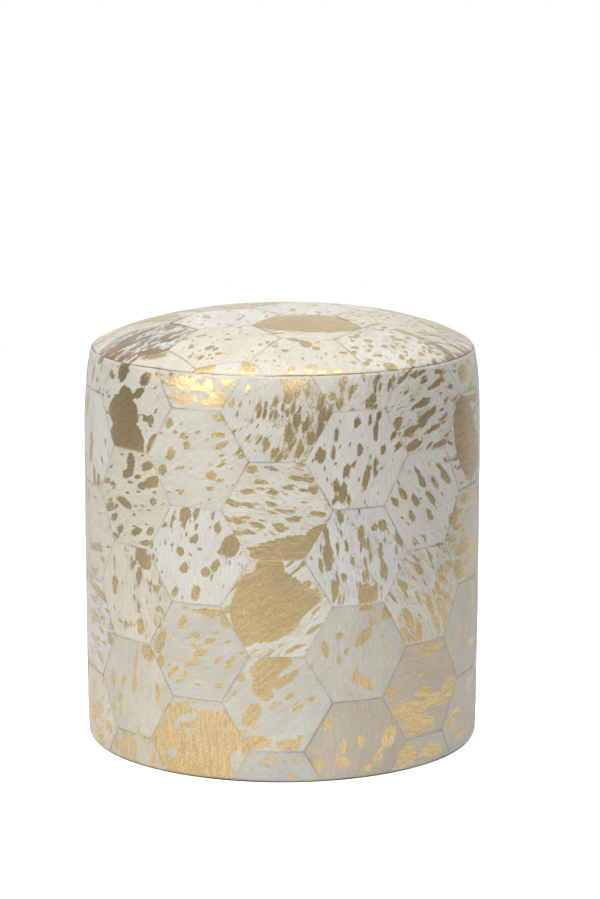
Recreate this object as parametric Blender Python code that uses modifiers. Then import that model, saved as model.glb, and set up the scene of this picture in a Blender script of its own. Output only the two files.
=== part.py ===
"""Drum pouf: a firm foam core in a sewn cover of hair-on hide hexagons, zipped across its base.

Metres, +Z up. The origin is the middle of the base, on the floor; the front faces -Y.
"""

import math

import bmesh
import bpy

# Driving dimensions
RADIUS = 0.203  # widest, half way up the wall
SEAM_Z = 0.4036  # height of the seam between the wall and the top
CROWN = 0.0369  # the top rises this far above its seam
HEX_HEIGHT = 0.0962  # across the flats of one hexagon
HEX_HALF_WIDTH = 0.0553  # from its middle to a corner
COLUMN_PITCH = 0.082  # from one column of hexagons to the next
WALL_COLUMN_0 = -0.005  # arc length from the front to the middle of column 0
WALL_ROW_0 = -0.0162  # height of the middle of column 0's lowest hexagon
TOP_COLUMN_0 = 0.022  # the same for the top: X of its column 0
TOP_ROW_0 = -0.174  # and Y of that column's first hexagon

# Wall profile
WALL_BULGE = 0.001
SHOULDER_HEIGHT = 0.070
SHOULDER_IN = 0.0048
HEEL_HEIGHT = 0.090
HEEL_IN = 0.007
EDGE_ROUND = 0.006  # rounding where the wall turns under
WALL_COLUMNS_EACH_WAY = 8

# Thicknesses and clearances
HIDE = 0.003
CLOTH = 0.0006
BASE_CLOTH = 0.002
GAP = 0.0003
SEAM_GAP = 0.0006  # between two strips of hide
FACET_GAP = 0.0012  # between the hide's facets and the turned layers inside it
WADDING_TOP = 0.006
FOAM_RADIUS = 0.1844
FOAM_SLABS = 4
TURN_STEPS = 36
CROWN_STEPS = 8
LAYER_STEPS = 5  # the same for the layers under the hide

# Base and zip
BASE_RADIUS = 0.1888
BAG_Z = BASE_CLOTH + FACET_GAP  # underside of the inner bag
ZIP_LEDGE = 0.005  # the base cloth stands this far off the floor beside the zip
ZIP_ROOM = 0.0090  # the inner bag stands this much higher there
ROOM_SPREAD = 0.004  # and its rise is this much wider
LEDGE_HALF = 0.015
RAMP_HALF = 0.034
RAMP_START_X = 0.156
RAMP_END_X = 0.174
BASE_EDGE_Y = 0.0055
BASE_CLOSED_X = 0.168  # the halves of the base meet beyond here
BASE_CLOSING = 0.012
TAPE_HALF_LENGTH = 0.155
TAPE_Y = (0.0035, 0.0145)
COIL_HALF_LENGTH = 0.150
COIL_Y = (0.0006, 0.0032)
COIL_Z = (0.0062, 0.0090)
STOP_LENGTH = 0.003
SLIDER_X = -0.1425  # the slider's middle with the zip closed
SLIDER_LENGTH = 0.011
PIN_Z = 0.0031
PULL_LENGTH = 0.017
PULL_THICK = 0.0012

WHITE = (214, 213, 208)
CREAM = (214, 207, 192)
TAUPE = (190, 178, 160)
GOLD = (196, 160, 98)


def linear(rgb):
    """Screen colour, 0 to 255, as the linear colour that a shader takes."""
    shares = [c / 255 for c in rgb]
    return [s / 12.92 if s <= 0.04045 else ((s + 0.055) / 1.055) ** 2.4 for s in shares]


def material(name, rgb, roughness, metallic=0.0):
    made = bpy.data.materials.new(name)
    made.use_nodes = True
    shader = made.node_tree.nodes["Principled BSDF"]
    shader.inputs["Base Color"].default_value = (*linear(rgb), 1)
    shader.inputs["Roughness"].default_value = roughness
    shader.inputs["Metallic"].default_value = metallic
    made.diffuse_color = (*linear(rgb), 1)
    return made


def collection(name):
    made = bpy.data.collections.new(name)
    bpy.context.scene.collection.children.link(made)
    return made


def add(name, bm, look, into):
    mesh = bpy.data.meshes.new(name)
    bm.to_mesh(mesh)
    bm.free()
    mesh.materials.append(look)
    obj = bpy.data.objects.new(name, mesh)
    into.objects.link(obj)
    return obj


def smooth(obj):
    obj.data.shade_smooth()
    obj.data.set_sharp_from_angle(angle=math.radians(40))
    return obj


def eased(share):
    """0 to 1 with a level start and end."""
    t = min(1.0, max(0.0, share))
    return t * t * (3 - 2 * t)


# Shapes that several parts follow


def wall_radius(z):
    """Outer radius of the wall at height z."""
    middle = SEAM_Z / 2
    shoulder = max(0.0, 1 - (SEAM_Z - z) / SHOULDER_HEIGHT)
    heel = max(0.0, 1 - z / HEEL_HEIGHT)
    bulge = WALL_BULGE * ((z - middle) / middle) ** 2
    return RADIUS - bulge - SHOULDER_IN * shoulder**4 - HEEL_IN * heel**2


def crown_profile(depth):
    """(radius, z) from the middle to the rim of the crown's surface, depth metres inside it."""
    rim = wall_radius(SEAM_Z) - depth
    steps = LAYER_STEPS if depth > HIDE else CROWN_STEPS
    points = []
    for i in range(steps + 1):
        share = math.sin(math.pi / 2 * i / steps)
        rise = (1 - share**2.4) ** (1 / 1.3)
        points.append((rim * share, SEAM_Z + GAP / 2 + (CROWN - depth) * rise))
    return points


def zigzag(along, first, height):
    """How far a column's edge stands from its middle, where its hexagons are centred on first."""
    share = ((along - first) / height) % 1.0
    away = min(share, 1 - share) * 2
    short = COLUMN_PITCH - HEX_HALF_WIDTH
    return HEX_HALF_WIDTH + (short - HEX_HALF_WIDTH) * away


def base_ramp(x, y, spread):
    """1 beside the zip, falling to 0 on the flat of the base; spread widens it all round."""
    across = (RAMP_HALF + spread - abs(y)) / (RAMP_HALF - LEDGE_HALF)
    along = (RAMP_END_X + spread - abs(x)) / (RAMP_END_X - RAMP_START_X)
    return eased(across) * eased(along)


# Ways of making a solid


def panel(name, across, along, place, look, into):
    """A curved panel: a grid given a thickness, its points put in place by (share, row, depth)."""
    bm = bmesh.new()
    bmesh.ops.create_grid(bm, x_segments=across, y_segments=along, size=0.5)
    front = {v: (v.co.x + 0.5, round((v.co.y + 0.5) * along), 0) for v in bm.verts}
    made = bmesh.ops.extrude_face_region(bm, geom=bm.faces[:], use_keep_orig=True)
    for element in made["geom"]:
        if isinstance(element, bmesh.types.BMVert):
            front[element] = (element.co.x + 0.5, round((element.co.y + 0.5) * along), 1)
    for vert, (share, row, depth) in front.items():
        vert.co = place(share, row, depth)
    bmesh.ops.recalc_face_normals(bm, faces=bm.faces[:])
    return smooth(add(name, bm, look, into))


def turned(name, profile, look, into):
    """A solid of revolution: its outline runs down the outer side and back up the inner one."""
    bm = bmesh.new()
    verts = [bm.verts.new((radius, 0, z)) for radius, z in profile]
    on_axis = profile[0][0] == 0 and profile[-1][0] == 0
    count = len(verts) - 1 if on_axis else len(verts)
    for i in range(count):
        bm.edges.new((verts[i], verts[(i + 1) % len(verts)]))
    obj = add(name, bm, look, into)
    screw = obj.modifiers.new("Turn", "SCREW")
    screw.steps = screw.render_steps = TURN_STEPS
    screw.use_merge_vertices = True
    screw.merge_threshold = 0.00001
    screw.use_smooth_shade = True
    return obj


def box(name, low, high, look, into):
    bm = bmesh.new()
    bmesh.ops.create_cube(bm, size=1)
    for vert in bm.verts:
        for axis in range(3):
            vert.co[axis] = high[axis] if vert.co[axis] > 0 else low[axis]
    return add(name, bm, look, into)


def rod_along_y(name, radius, half_length, centre, look, into):
    bm = bmesh.new()
    bmesh.ops.create_cone(
        bm, cap_ends=True, segments=12, radius1=radius, radius2=radius, depth=2 * half_length
    )
    obj = add(name, bm, look, into)
    obj.rotation_euler = (math.pi / 2, 0, 0)
    obj.location = centre
    return obj


def extruded(name, outline, axis, low, high, look, into):
    """An outline of (a, b) points drawn out along axis 0 or 2, from low to high."""
    bm = bmesh.new()
    if axis == 0:
        verts = [bm.verts.new((low, a, b)) for a, b in outline]
        along = (high - low, 0, 0)
    else:
        verts = [bm.verts.new((a, b, low)) for a, b in outline]
        along = (0, 0, high - low)
    face = bm.faces.new(verts)
    made = bmesh.ops.extrude_face_region(bm, geom=[face], use_keep_orig=True)
    moved = [e for e in made["geom"] if isinstance(e, bmesh.types.BMVert)]
    bmesh.ops.translate(bm, vec=along, verts=moved)
    bmesh.ops.recalc_face_normals(bm, faces=bm.faces[:])
    return add(name, bm, look, into)


def boolean(obj, cutter, operation):
    modifier = obj.modifiers.new(cutter.name, "BOOLEAN")
    modifier.operation = operation
    modifier.object = cutter
    modifier.solver = "EXACT"
    cutter.hide_render = True
    cutter.display_type = "WIRE"


# The cover


def wall_rows():
    """(radius, z, depth direction) of the wall's rows, from the base seam up to the top seam."""
    rows = []
    centre = wall_radius(EDGE_ROUND) - EDGE_ROUND
    for degrees in (-90, -60, -30):
        lean = math.radians(degrees)
        radius = centre + EDGE_ROUND * math.cos(lean)
        rows.append((radius, EDGE_ROUND * (1 + math.sin(lean)), lean))
    corners = [WALL_ROW_0 + HEX_HEIGHT / 2 * i for i in range(1, 9)]
    between = [EDGE_ROUND, 0.018, 0.055, 0.385, 0.396, SEAM_Z - GAP / 2]
    for z in sorted(corners + between):
        rows.append((wall_radius(z), z, 0.0))
    return rows


def wall_edge(column, z):
    """Arc length from the front to the seam on the right of a column, at height z."""
    if column == WALL_COLUMNS_EACH_WAY:
        return WALL_COLUMN_0 + math.pi * RADIUS
    if column == -WALL_COLUMNS_EACH_WAY - 1:
        return WALL_COLUMN_0 - math.pi * RADIUS
    first = WALL_ROW_0 + HEX_HEIGHT / 2 * (column % 2)
    return WALL_COLUMN_0 + COLUMN_PITCH * column + zigzag(z, first, HEX_HEIGHT)


def wall_strip(name, column, look, into):
    """One sewn column of hexagons, bent round the core and turned under at the base."""
    rows = wall_rows()

    def place(share, row, depth):
        radius, z, lean = rows[row]
        left = wall_edge(column - 1, z) + SEAM_GAP / 2
        right = wall_edge(column, z) - SEAM_GAP / 2
        angle = (left + (right - left) * share) / RADIUS
        radius -= HIDE * depth * math.cos(lean)
        z -= HIDE * depth * math.sin(lean)
        return (radius * math.sin(angle), -radius * math.cos(angle), z)

    return panel(name, 4, len(rows) - 1, place, look, into)


def shell_of_crown(name, outer, inner, look, into):
    """A domed layer between two depths inside the crown's surface."""
    return turned(name, crown_profile(outer) + crown_profile(inner)[::-1], look, into)


def top_outline(column):
    """The seams on both sides of a column of the top, as a closed outline past the rim."""
    reach = RADIUS + 0.02
    rows = [TOP_ROW_0 + HEX_HEIGHT / 2 * i for i in range(-1, 9)]

    def edge(of, y, gap):
        first = TOP_ROW_0 + HEX_HEIGHT / 2 * (of % 2)
        return TOP_COLUMN_0 + COLUMN_PITCH * of + zigzag(y, first, HEX_HEIGHT) + gap

    right = [(edge(column, y, -SEAM_GAP / 2), y) for y in rows]
    left = [(edge(column - 1, y, SEAM_GAP / 2), y) for y in rows]
    if column == 2:
        right = [(reach, rows[0]), (reach, rows[-1])]
    if column == -2:
        left = [(-reach, rows[0]), (-reach, rows[-1])]
    return right + left[::-1]


def top_strip(name, column, look, into, cutters):
    """One column of hexagons of the top."""
    strip = shell_of_crown(name, 0, HIDE, look, into)
    low, high = SEAM_Z - 0.01, SEAM_Z + CROWN + 0.01
    cutter = extruded(name + "_outline", top_outline(column), 2, low, high, look, cutters)
    boolean(strip, cutter, "INTERSECT")
    return strip


def make_cover(parts, cutters):
    colours = (WHITE, CREAM, TAUPE, GOLD)
    first = -WALL_COLUMNS_EACH_WAY
    for column in range(first, WALL_COLUMNS_EACH_WAY + 1):
        name = f"side_strip_{column - first + 1:02d}"
        look = material(name, colours[column % 4], 0.55)
        wall_strip(name, column, look, parts)
    for column in range(-2, 3):
        name = f"top_strip_{column + 3}"
        look = material(name, colours[column % 2], 0.55)
        top_strip(name, column, look, parts, cutters)


# Linings, inner bag, wadding and foam


def wall_outline(depth):
    """(radius, z) down the wall, depth metres inside it, to just above the turned-under edge."""
    heights = (SEAM_Z - GAP / 2, 0.385, 0.330, 0.080, 0.030, EDGE_ROUND + 0.003)
    return [(wall_radius(z) - depth, z) for z in heights]


def make_layers(parts):
    cotton = material("cotton_lining", (226, 217, 198), 0.9)
    calico = material("calico", (232, 224, 206), 0.9)
    fibre = material("fibre_wadding", (240, 240, 238), 1.0)
    lining = HIDE + FACET_GAP
    bag = lining + CLOTH + GAP
    wadding = bag + CLOTH + GAP
    for name, depth, look in (("lining", lining, cotton), ("calico", bag, calico)):
        tube = wall_outline(depth) + wall_outline(depth + CLOTH)[::-1]
        turned(f"{name}_side", tube, look, parts)
        shell_of_crown(f"{name}_top", depth, depth + CLOTH, look, parts)

    inner = FOAM_RADIUS + GAP
    floor = BAG_Z + CLOTH + GAP
    wrap = wall_outline(wadding) + [(BASE_RADIUS - GAP, floor), (inner, floor)]
    turned("wadding_side", wrap + [(inner, SEAM_Z - GAP / 2)], fibre, parts)
    shell_of_crown("wadding_top", wadding, wadding + WADDING_TOP, fibre, parts)
    base_sheet("calico_base", BAG_Z, CLOTH, ZIP_ROOM, -1, calico, parts)
    return wadding + WADDING_TOP


def make_foam(parts, cutters, crown_depth):
    foam = material("foam", (238, 224, 176), 0.95)
    lowest = BAG_Z + CLOTH + GAP
    each = (SEAM_Z - GAP / 2 - lowest) / FOAM_SLABS
    for i in range(FOAM_SLABS):
        low = lowest + each * i
        bm = bmesh.new()
        bmesh.ops.create_cone(
            bm,
            cap_ends=True,
            segments=TURN_STEPS,
            radius1=FOAM_RADIUS,
            radius2=FOAM_RADIUS,
            depth=each - GAP,
        )
        bmesh.ops.translate(bm, vec=(0, 0, low + (each - GAP) / 2), verts=bm.verts[:])
        slab = smooth(add(f"foam_slab_{i + 1}", bm, foam, parts))
        if i == 0:
            wide = RAMP_HALF + ROOM_SPREAD + 0.010
            narrow = LEDGE_HALF + ROOM_SPREAD + 0.010
            roof = lowest + ZIP_ROOM + GAP
            outline = [(-wide, lowest - 0.01), (wide, lowest - 0.01), (wide, lowest)]
            outline += [(narrow, roof), (-narrow, roof), (-wide, lowest)]
            reach = FOAM_RADIUS + 0.01
            groove = extruded("zip_groove", outline, 0, -reach, reach, foam, cutters)
            boolean(slab, groove, "DIFFERENCE")
    depth = crown_depth + GAP
    turned("foam_crown", crown_profile(depth) + [(0, SEAM_Z + GAP / 2)], foam, parts)


# Base and zip


def base_sheet(name, z, thick, rise, half, look, into):
    """A sheet of the base that rises beside the zip: half 1 is the rear, 0 the front, -1 both."""
    radius = BASE_RADIUS - (GAP if half < 0 else 0)
    spread = ROOM_SPREAD if half < 0 else 0
    tip = 0.008
    end = math.sqrt(radius**2 - (tip + BASE_EDGE_Y) ** 2)
    rows = 20 if half < 0 else 7

    def place(share, row, depth):
        x = -end * math.cos(math.pi * share)
        edge = math.sqrt(radius**2 - x * x)
        if half < 0:
            lean = row / rows * 2 - 1
            y = edge * math.copysign(abs(lean) ** 1.6, lean)
        else:
            open_here = eased((BASE_CLOSED_X - abs(x)) / BASE_CLOSING)
            near = GAP / 2 + (BASE_EDGE_Y - GAP / 2) * open_here
            y = near + (edge - near) * (row / rows) ** 1.8
            y = y if half else -y
        return (x, y, z + rise * base_ramp(x, y, spread) + thick * depth)

    return panel(name, 20, rows, place, look, into)


def make_base(parts):
    cloth = material("base_cloth", (34, 32, 30), 0.8)
    for half, side in enumerate(("front", "rear")):
        base_sheet(f"base_panel_{side}", 0, BASE_CLOTH, ZIP_LEDGE, half, cloth, parts)


def across(pair, sign):
    """The two ends of a stretch beside the zip, on its rear (1) or front (-1) side."""
    return sorted(sign * value for value in pair)


def make_zip(parts):
    tape = material("zip_tape", (30, 30, 32), 0.85)
    nylon = material("zip_coil", (44, 44, 46), 0.4)
    metal = material("zip_metal", (176, 150, 98), 0.3, 1.0)
    tape_z = ZIP_LEDGE + BASE_CLOTH + GAP
    for sign, side in ((-1, "front"), (1, "rear")):
        y0, y1 = across(TAPE_Y, sign)
        low = (-TAPE_HALF_LENGTH, y0, tape_z)
        box(f"zip_tape_{side}", low, (TAPE_HALF_LENGTH, y1, tape_z + CLOTH), tape, parts)
        y0, y1 = across(COIL_Y, sign)
        low = (-COIL_HALF_LENGTH, y0, COIL_Z[0])
        box(f"zip_coil_{side}", low, (COIL_HALF_LENGTH, y1, COIL_Z[1]), nylon, parts)
        end = -COIL_HALF_LENGTH - GAP
        low = (end - STOP_LENGTH, y0, COIL_Z[0])
        box(f"zip_top_stop_{side}", low, (end, y1, COIL_Z[1]), metal, parts)
    end = COIL_HALF_LENGTH + GAP
    low = (end, -COIL_Y[1], COIL_Z[0])
    high = (end + STOP_LENGTH, COIL_Y[1], COIL_Z[1])
    box("zip_bottom_stop", low, high, metal, parts)
    return metal


def slider_outline():
    """The slider seen along the zip: two plates joined by a web that runs between the coils."""
    web, lip, edge = 0.00035, 0.0039, 0.0047
    floor, lower, lower_lip = 0.0044, 0.0056, 0.0070
    roof, upper, upper_lip = 0.0108, 0.0096, 0.0082
    right = [(edge, floor), (edge, lower_lip), (lip, lower_lip), (lip, lower), (web, lower)]
    right += [(web, upper), (lip, upper), (lip, upper_lip), (edge, upper_lip), (edge, roof)]
    return right + [(-y, z) for y, z in reversed(right)]


def make_slider(parts, cutters, metal):
    """The slider, with a lug below it that the pull's pin passes through."""
    low = SLIDER_X - SLIDER_LENGTH / 2
    high = SLIDER_X + SLIDER_LENGTH / 2
    slider = extruded("zip_slider", slider_outline(), 0, low, high, metal, parts)
    lug_half = 0.003
    lug = box(
        "slider_lug",
        (SLIDER_X - lug_half, -0.0009, PIN_Z - 0.0012),
        (SLIDER_X + lug_half, 0.0009, 0.0050),
        metal,
        cutters,
    )
    hole = rod_along_y("pin_hole", 0.0008, 0.004, (SLIDER_X, 0, PIN_Z), metal, cutters)
    boolean(slider, lug, "UNION")
    boolean(slider, hole, "DIFFERENCE")


def make_pull(parts, cutters, metal):
    """The pull: a flat fork on a pin, its object's origin on the pin."""
    arm, half, slot = 0.0009, 0.0026, 0.0045
    inner = 0.0012
    outline = [(-arm, inner), (slot, inner), (slot, -inner), (-arm, -inner), (-arm, -half)]
    outline += [(PULL_LENGTH - half, -half), (PULL_LENGTH, 0), (PULL_LENGTH - half, half)]
    outline += [(-arm, half)]
    thick = PULL_THICK / 2
    pull = extruded("zip_pull", outline, 2, -thick, thick, metal, parts)
    pull.location = (SLIDER_X, 0, PIN_Z)
    pin = rod_along_y("pull_pin", 0.0005, half - 0.0003, (SLIDER_X, 0, PIN_Z), metal, cutters)
    boolean(pull, pin, "UNION")


def main():
    for obj in list(bpy.data.objects):
        bpy.data.objects.remove(obj, do_unlink=True)
    parts = collection("drum_pouf")
    cutters = collection("cutters")
    make_cover(parts, cutters)
    crown_depth = make_layers(parts)
    make_foam(parts, cutters, crown_depth)
    make_base(parts)
    metal = make_zip(parts)
    make_slider(parts, cutters, metal)
    make_pull(parts, cutters, metal)


main()
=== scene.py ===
"""Looks of the drum pouf: gold-foiled hair-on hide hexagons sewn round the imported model.

Metres, +Z up, the front faces -Y. Sizes inside a patch are in millimetres from its middle.
"""

import math
import random

import bmesh
import bpy
import numpy as np
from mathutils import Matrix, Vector, noise


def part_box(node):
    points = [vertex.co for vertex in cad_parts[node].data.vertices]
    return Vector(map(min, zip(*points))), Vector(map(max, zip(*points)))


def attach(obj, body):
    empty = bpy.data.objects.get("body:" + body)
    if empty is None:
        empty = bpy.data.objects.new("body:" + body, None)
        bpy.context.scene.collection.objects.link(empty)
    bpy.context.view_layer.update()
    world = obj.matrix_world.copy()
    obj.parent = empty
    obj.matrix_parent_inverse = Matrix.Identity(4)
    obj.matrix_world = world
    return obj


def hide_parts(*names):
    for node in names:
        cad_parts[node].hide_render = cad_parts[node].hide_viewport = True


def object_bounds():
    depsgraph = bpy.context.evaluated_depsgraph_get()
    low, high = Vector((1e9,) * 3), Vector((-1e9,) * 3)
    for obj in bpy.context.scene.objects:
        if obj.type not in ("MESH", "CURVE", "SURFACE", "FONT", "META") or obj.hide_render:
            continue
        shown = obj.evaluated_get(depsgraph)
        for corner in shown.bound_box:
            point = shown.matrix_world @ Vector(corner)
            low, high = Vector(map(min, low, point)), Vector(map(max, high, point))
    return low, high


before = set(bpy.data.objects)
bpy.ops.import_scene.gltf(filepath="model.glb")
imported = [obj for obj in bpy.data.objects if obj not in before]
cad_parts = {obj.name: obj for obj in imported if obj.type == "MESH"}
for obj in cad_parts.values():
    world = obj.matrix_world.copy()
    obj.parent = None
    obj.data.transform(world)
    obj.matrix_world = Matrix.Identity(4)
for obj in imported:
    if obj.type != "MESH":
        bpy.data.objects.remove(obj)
CAD_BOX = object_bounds()
MM = 0.001

# Shape, from the frame
SEAM_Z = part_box("side_strip_09")[1].z + 0.00015
RADIUS = round(CAD_BOX[1].x, 3)
CROWN = CAD_BOX[1].z - SEAM_Z - 0.0015  # the filled-out hide stands about this much higher
WALL_BULGE = 0.001
SHOULDER_HEIGHT = 0.070
SHOULDER_IN = 0.0048
HEEL_HEIGHT = 0.090
HEEL_IN = 0.0007
HEEL_IN_AHEAD = 0.00042
EDGE_ROUND = 0.005
CROWN_POWER = 2.4
CROWN_ROOT = 1 / 1.3
PINCH_LEFT = 0.0026
PINCH_RIGHT = 0.0014
CROWN_LEAN = 0.0016
CROWN_DROP_LEFT = 0.0025

# The patchwork's lattice
HEX_HEIGHT = 96.2 * MM
HEX_HALF_WIDTH = 55.3 * MM
COLUMN_PITCH = 82 * MM
SHORT_HALF = COLUMN_PITCH - HEX_HALF_WIDTH
WALL_ORIGIN = (-5 * MM, -16.2 * MM)
TOP_ORIGIN = (25 * MM, -174 * MM)
WALL_COLUMNS = range(-8, 9)
WALL_ROWS = range(0, 5)
TOP_COLUMNS = range(-3, 3)
TOP_ROWS = range(-1, 5)
CORNER_JITTER = 0.5 * MM
RINGS_NEAR_SEAM = (0, 0.3, 0.7, 1.2, 2.0, 3.2, 4.8)
RINGS_INSIDE = 21
HIDE_THICK = 1.6 * MM

# Seams
SEAM_DEPTH = 0.22 * MM
SEAM_REACH = 0.7 * MM
TOP_SEAM_DEPTH = 0.9 * MM
TOP_SEAM_REACH = 1.2 * MM
TOP_THREAD_RADIUS = 0.28 * MM
# the base binding, dark cloth that stands in for the contact shadow at the floor (painted shade)
BINDING_RADIUS = 0.7 * MM
BINDING_UP = -1.2 * MM
STITCH_PITCH = 1.35 * MM
STITCH_HALF = 1.75 * MM
THREAD_RADIUS = 0.22 * MM

# The cloth simulation that fills the patches out
CELL = 8.5 * MM
FILL_PRESSURE = 4
FILL_FRAMES = 20
FILL_CAP = 1.3 * MM

# The base cloth and its zip, from the frame
BASE_RADIUS = 0.1925
BASE_THICK = 0.0016
ZIP_LEDGE = 0.005
LEDGE_HALF = 0.015
RAMP_HALF = 0.034
RAMP_START_X = 0.156
RAMP_END_X = 0.174
BASE_EDGE_Y = 0.0055
BASE_CLOSED_X = 0.168
BASE_CLOSING = 0.012
TOOTH_PITCH = 1.5 * MM
TOPSTITCH_HALF = 0.150
TOPSTITCH_PITCH = 2.6 * MM

# Camera
CAMERA_BACK = 3.0
CAMERA_HEIGHT = 0.869
CAMERA_DOWN = 10.84
LENS = 118.9
SHIFT_X = 0.0199

rng = random.Random(7)


# ---------------------------------------------------------------- shapes of the surface


def clip01(values):
    return np.clip(values, 0, 1)


def pinch(side):
    """How far the seam round the top is drawn in; side is -1 at the left and 1 at the right."""
    return PINCH_LEFT * np.maximum(-side, 0) ** 2 + PINCH_RIGHT * np.maximum(side, 0) ** 2


def wall_radius(z, angle):
    """The wall bulges a little, turns in to the top seam, and barely turns in at its heel."""
    ahead = np.maximum(np.cos(angle), 0)
    middle = SEAM_Z / 2
    bulge = WALL_BULGE * ((z - middle) / middle) ** 2
    shoulder = clip01(1 - (SEAM_Z - z) / SHOULDER_HEIGHT)
    heel = (HEEL_IN + HEEL_IN_AHEAD * ahead**2) * clip01(1 - z / HEEL_HEIGHT) ** 2
    return RADIUS - bulge - SHOULDER_IN * shoulder**4 - pinch(np.sin(angle)) * shoulder - heel


RIM = RADIUS - WALL_BULGE - SHOULDER_IN
LOWEST = EDGE_ROUND * (1 - math.pi / 2)
BACK = math.pi * RADIUS


def slow_noise(points, size, seed):
    """Smooth noise from -1 to 1 at 3-D points, size metres from one lump to the next."""
    offset = Vector((seed * 13.7, seed * 5.1, seed * 9.3))
    return np.array([noise.noise(Vector(p) / size + offset) for p in points])


def wall_points(flat, height):
    """Wall points: flat is (arc length, height up the wall), height is how far they stand out."""
    u, w = flat[:, 0], flat[:, 1]
    lean = np.minimum(0, (w - EDGE_ROUND) / EDGE_ROUND)
    z = np.where(w < EDGE_ROUND, EDGE_ROUND * (1 + np.sin(lean)), w)
    angle = u / RADIUS
    centre = wall_radius(np.full_like(w, EDGE_ROUND), angle) - EDGE_ROUND
    turned = centre + EDGE_ROUND * np.cos(lean)
    radius = np.where(w < EDGE_ROUND, turned, wall_radius(w, angle)) + height * np.cos(lean)
    z = np.maximum(z + height * np.sin(lean), 0.0001)
    return np.stack([radius * np.sin(angle), -radius * np.cos(angle), z], axis=1)


def top_points(flat, height):
    """Top points: flat is (x, y), height is how far they stand out of the crown."""
    x, y = flat[:, 0], flat[:, 1]
    rho = np.hypot(x, y)
    share = np.minimum(rho / RIM, 0.99999)
    base = 1 - share**CROWN_POWER
    rise = CROWN * base**CROWN_ROOT
    slope = -CROWN * CROWN_ROOT * base ** (CROWN_ROOT - 1)
    slope = slope * CROWN_POWER * share ** (CROWN_POWER - 1) / RIM
    size = np.sqrt(1 + slope**2)
    away = np.maximum(rho, 1e-9)
    radial = (rho - height * slope / size) / away
    radial = radial * (1 - pinch(x / away) * share**3 / RIM)
    lean = CROWN_LEAN * x / RIM - CROWN_DROP_LEFT * np.maximum(-x / RIM, 0) ** 3
    z = SEAM_Z + rise + height / size + lean * np.sqrt(base)
    return np.stack([x * radial, y * radial, z], axis=1)


# ---------------------------------------------------------------- the looks of each patch

WHITE = (0.640, 0.626, 0.566)
BLUISH = (0.630, 0.628, 0.608)
OFF_WHITE = (0.605, 0.582, 0.512)
CREAM = (0.625, 0.578, 0.485)
BEIGE = (0.560, 0.518, 0.435)
GREY = (0.535, 0.508, 0.442)
TAUPE = (0.485, 0.430, 0.350)
TAN = (0.540, 0.460, 0.362)
DIM = (0.540, 0.525, 0.468)
COOL = (0.480, 0.482, 0.452)


def look(coat, hair, fleck, blobs=(), holes=(), drift=(0, 0), dull=0.0):
    """A patch: coat colour, the hair's direction in degrees, flecks as (length, width, amount),
    big foil marks and holes in them as (x, y, half length, half width, degrees), how the
    amount of flecks grows to the right and upwards, and how far the marks are plain brown."""
    return {
        "coat": coat,
        "hair": hair,
        "fleck": fleck,
        "blobs": blobs,
        "holes": holes,
        "drift": drift,
        "dull": dull,
    }


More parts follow.
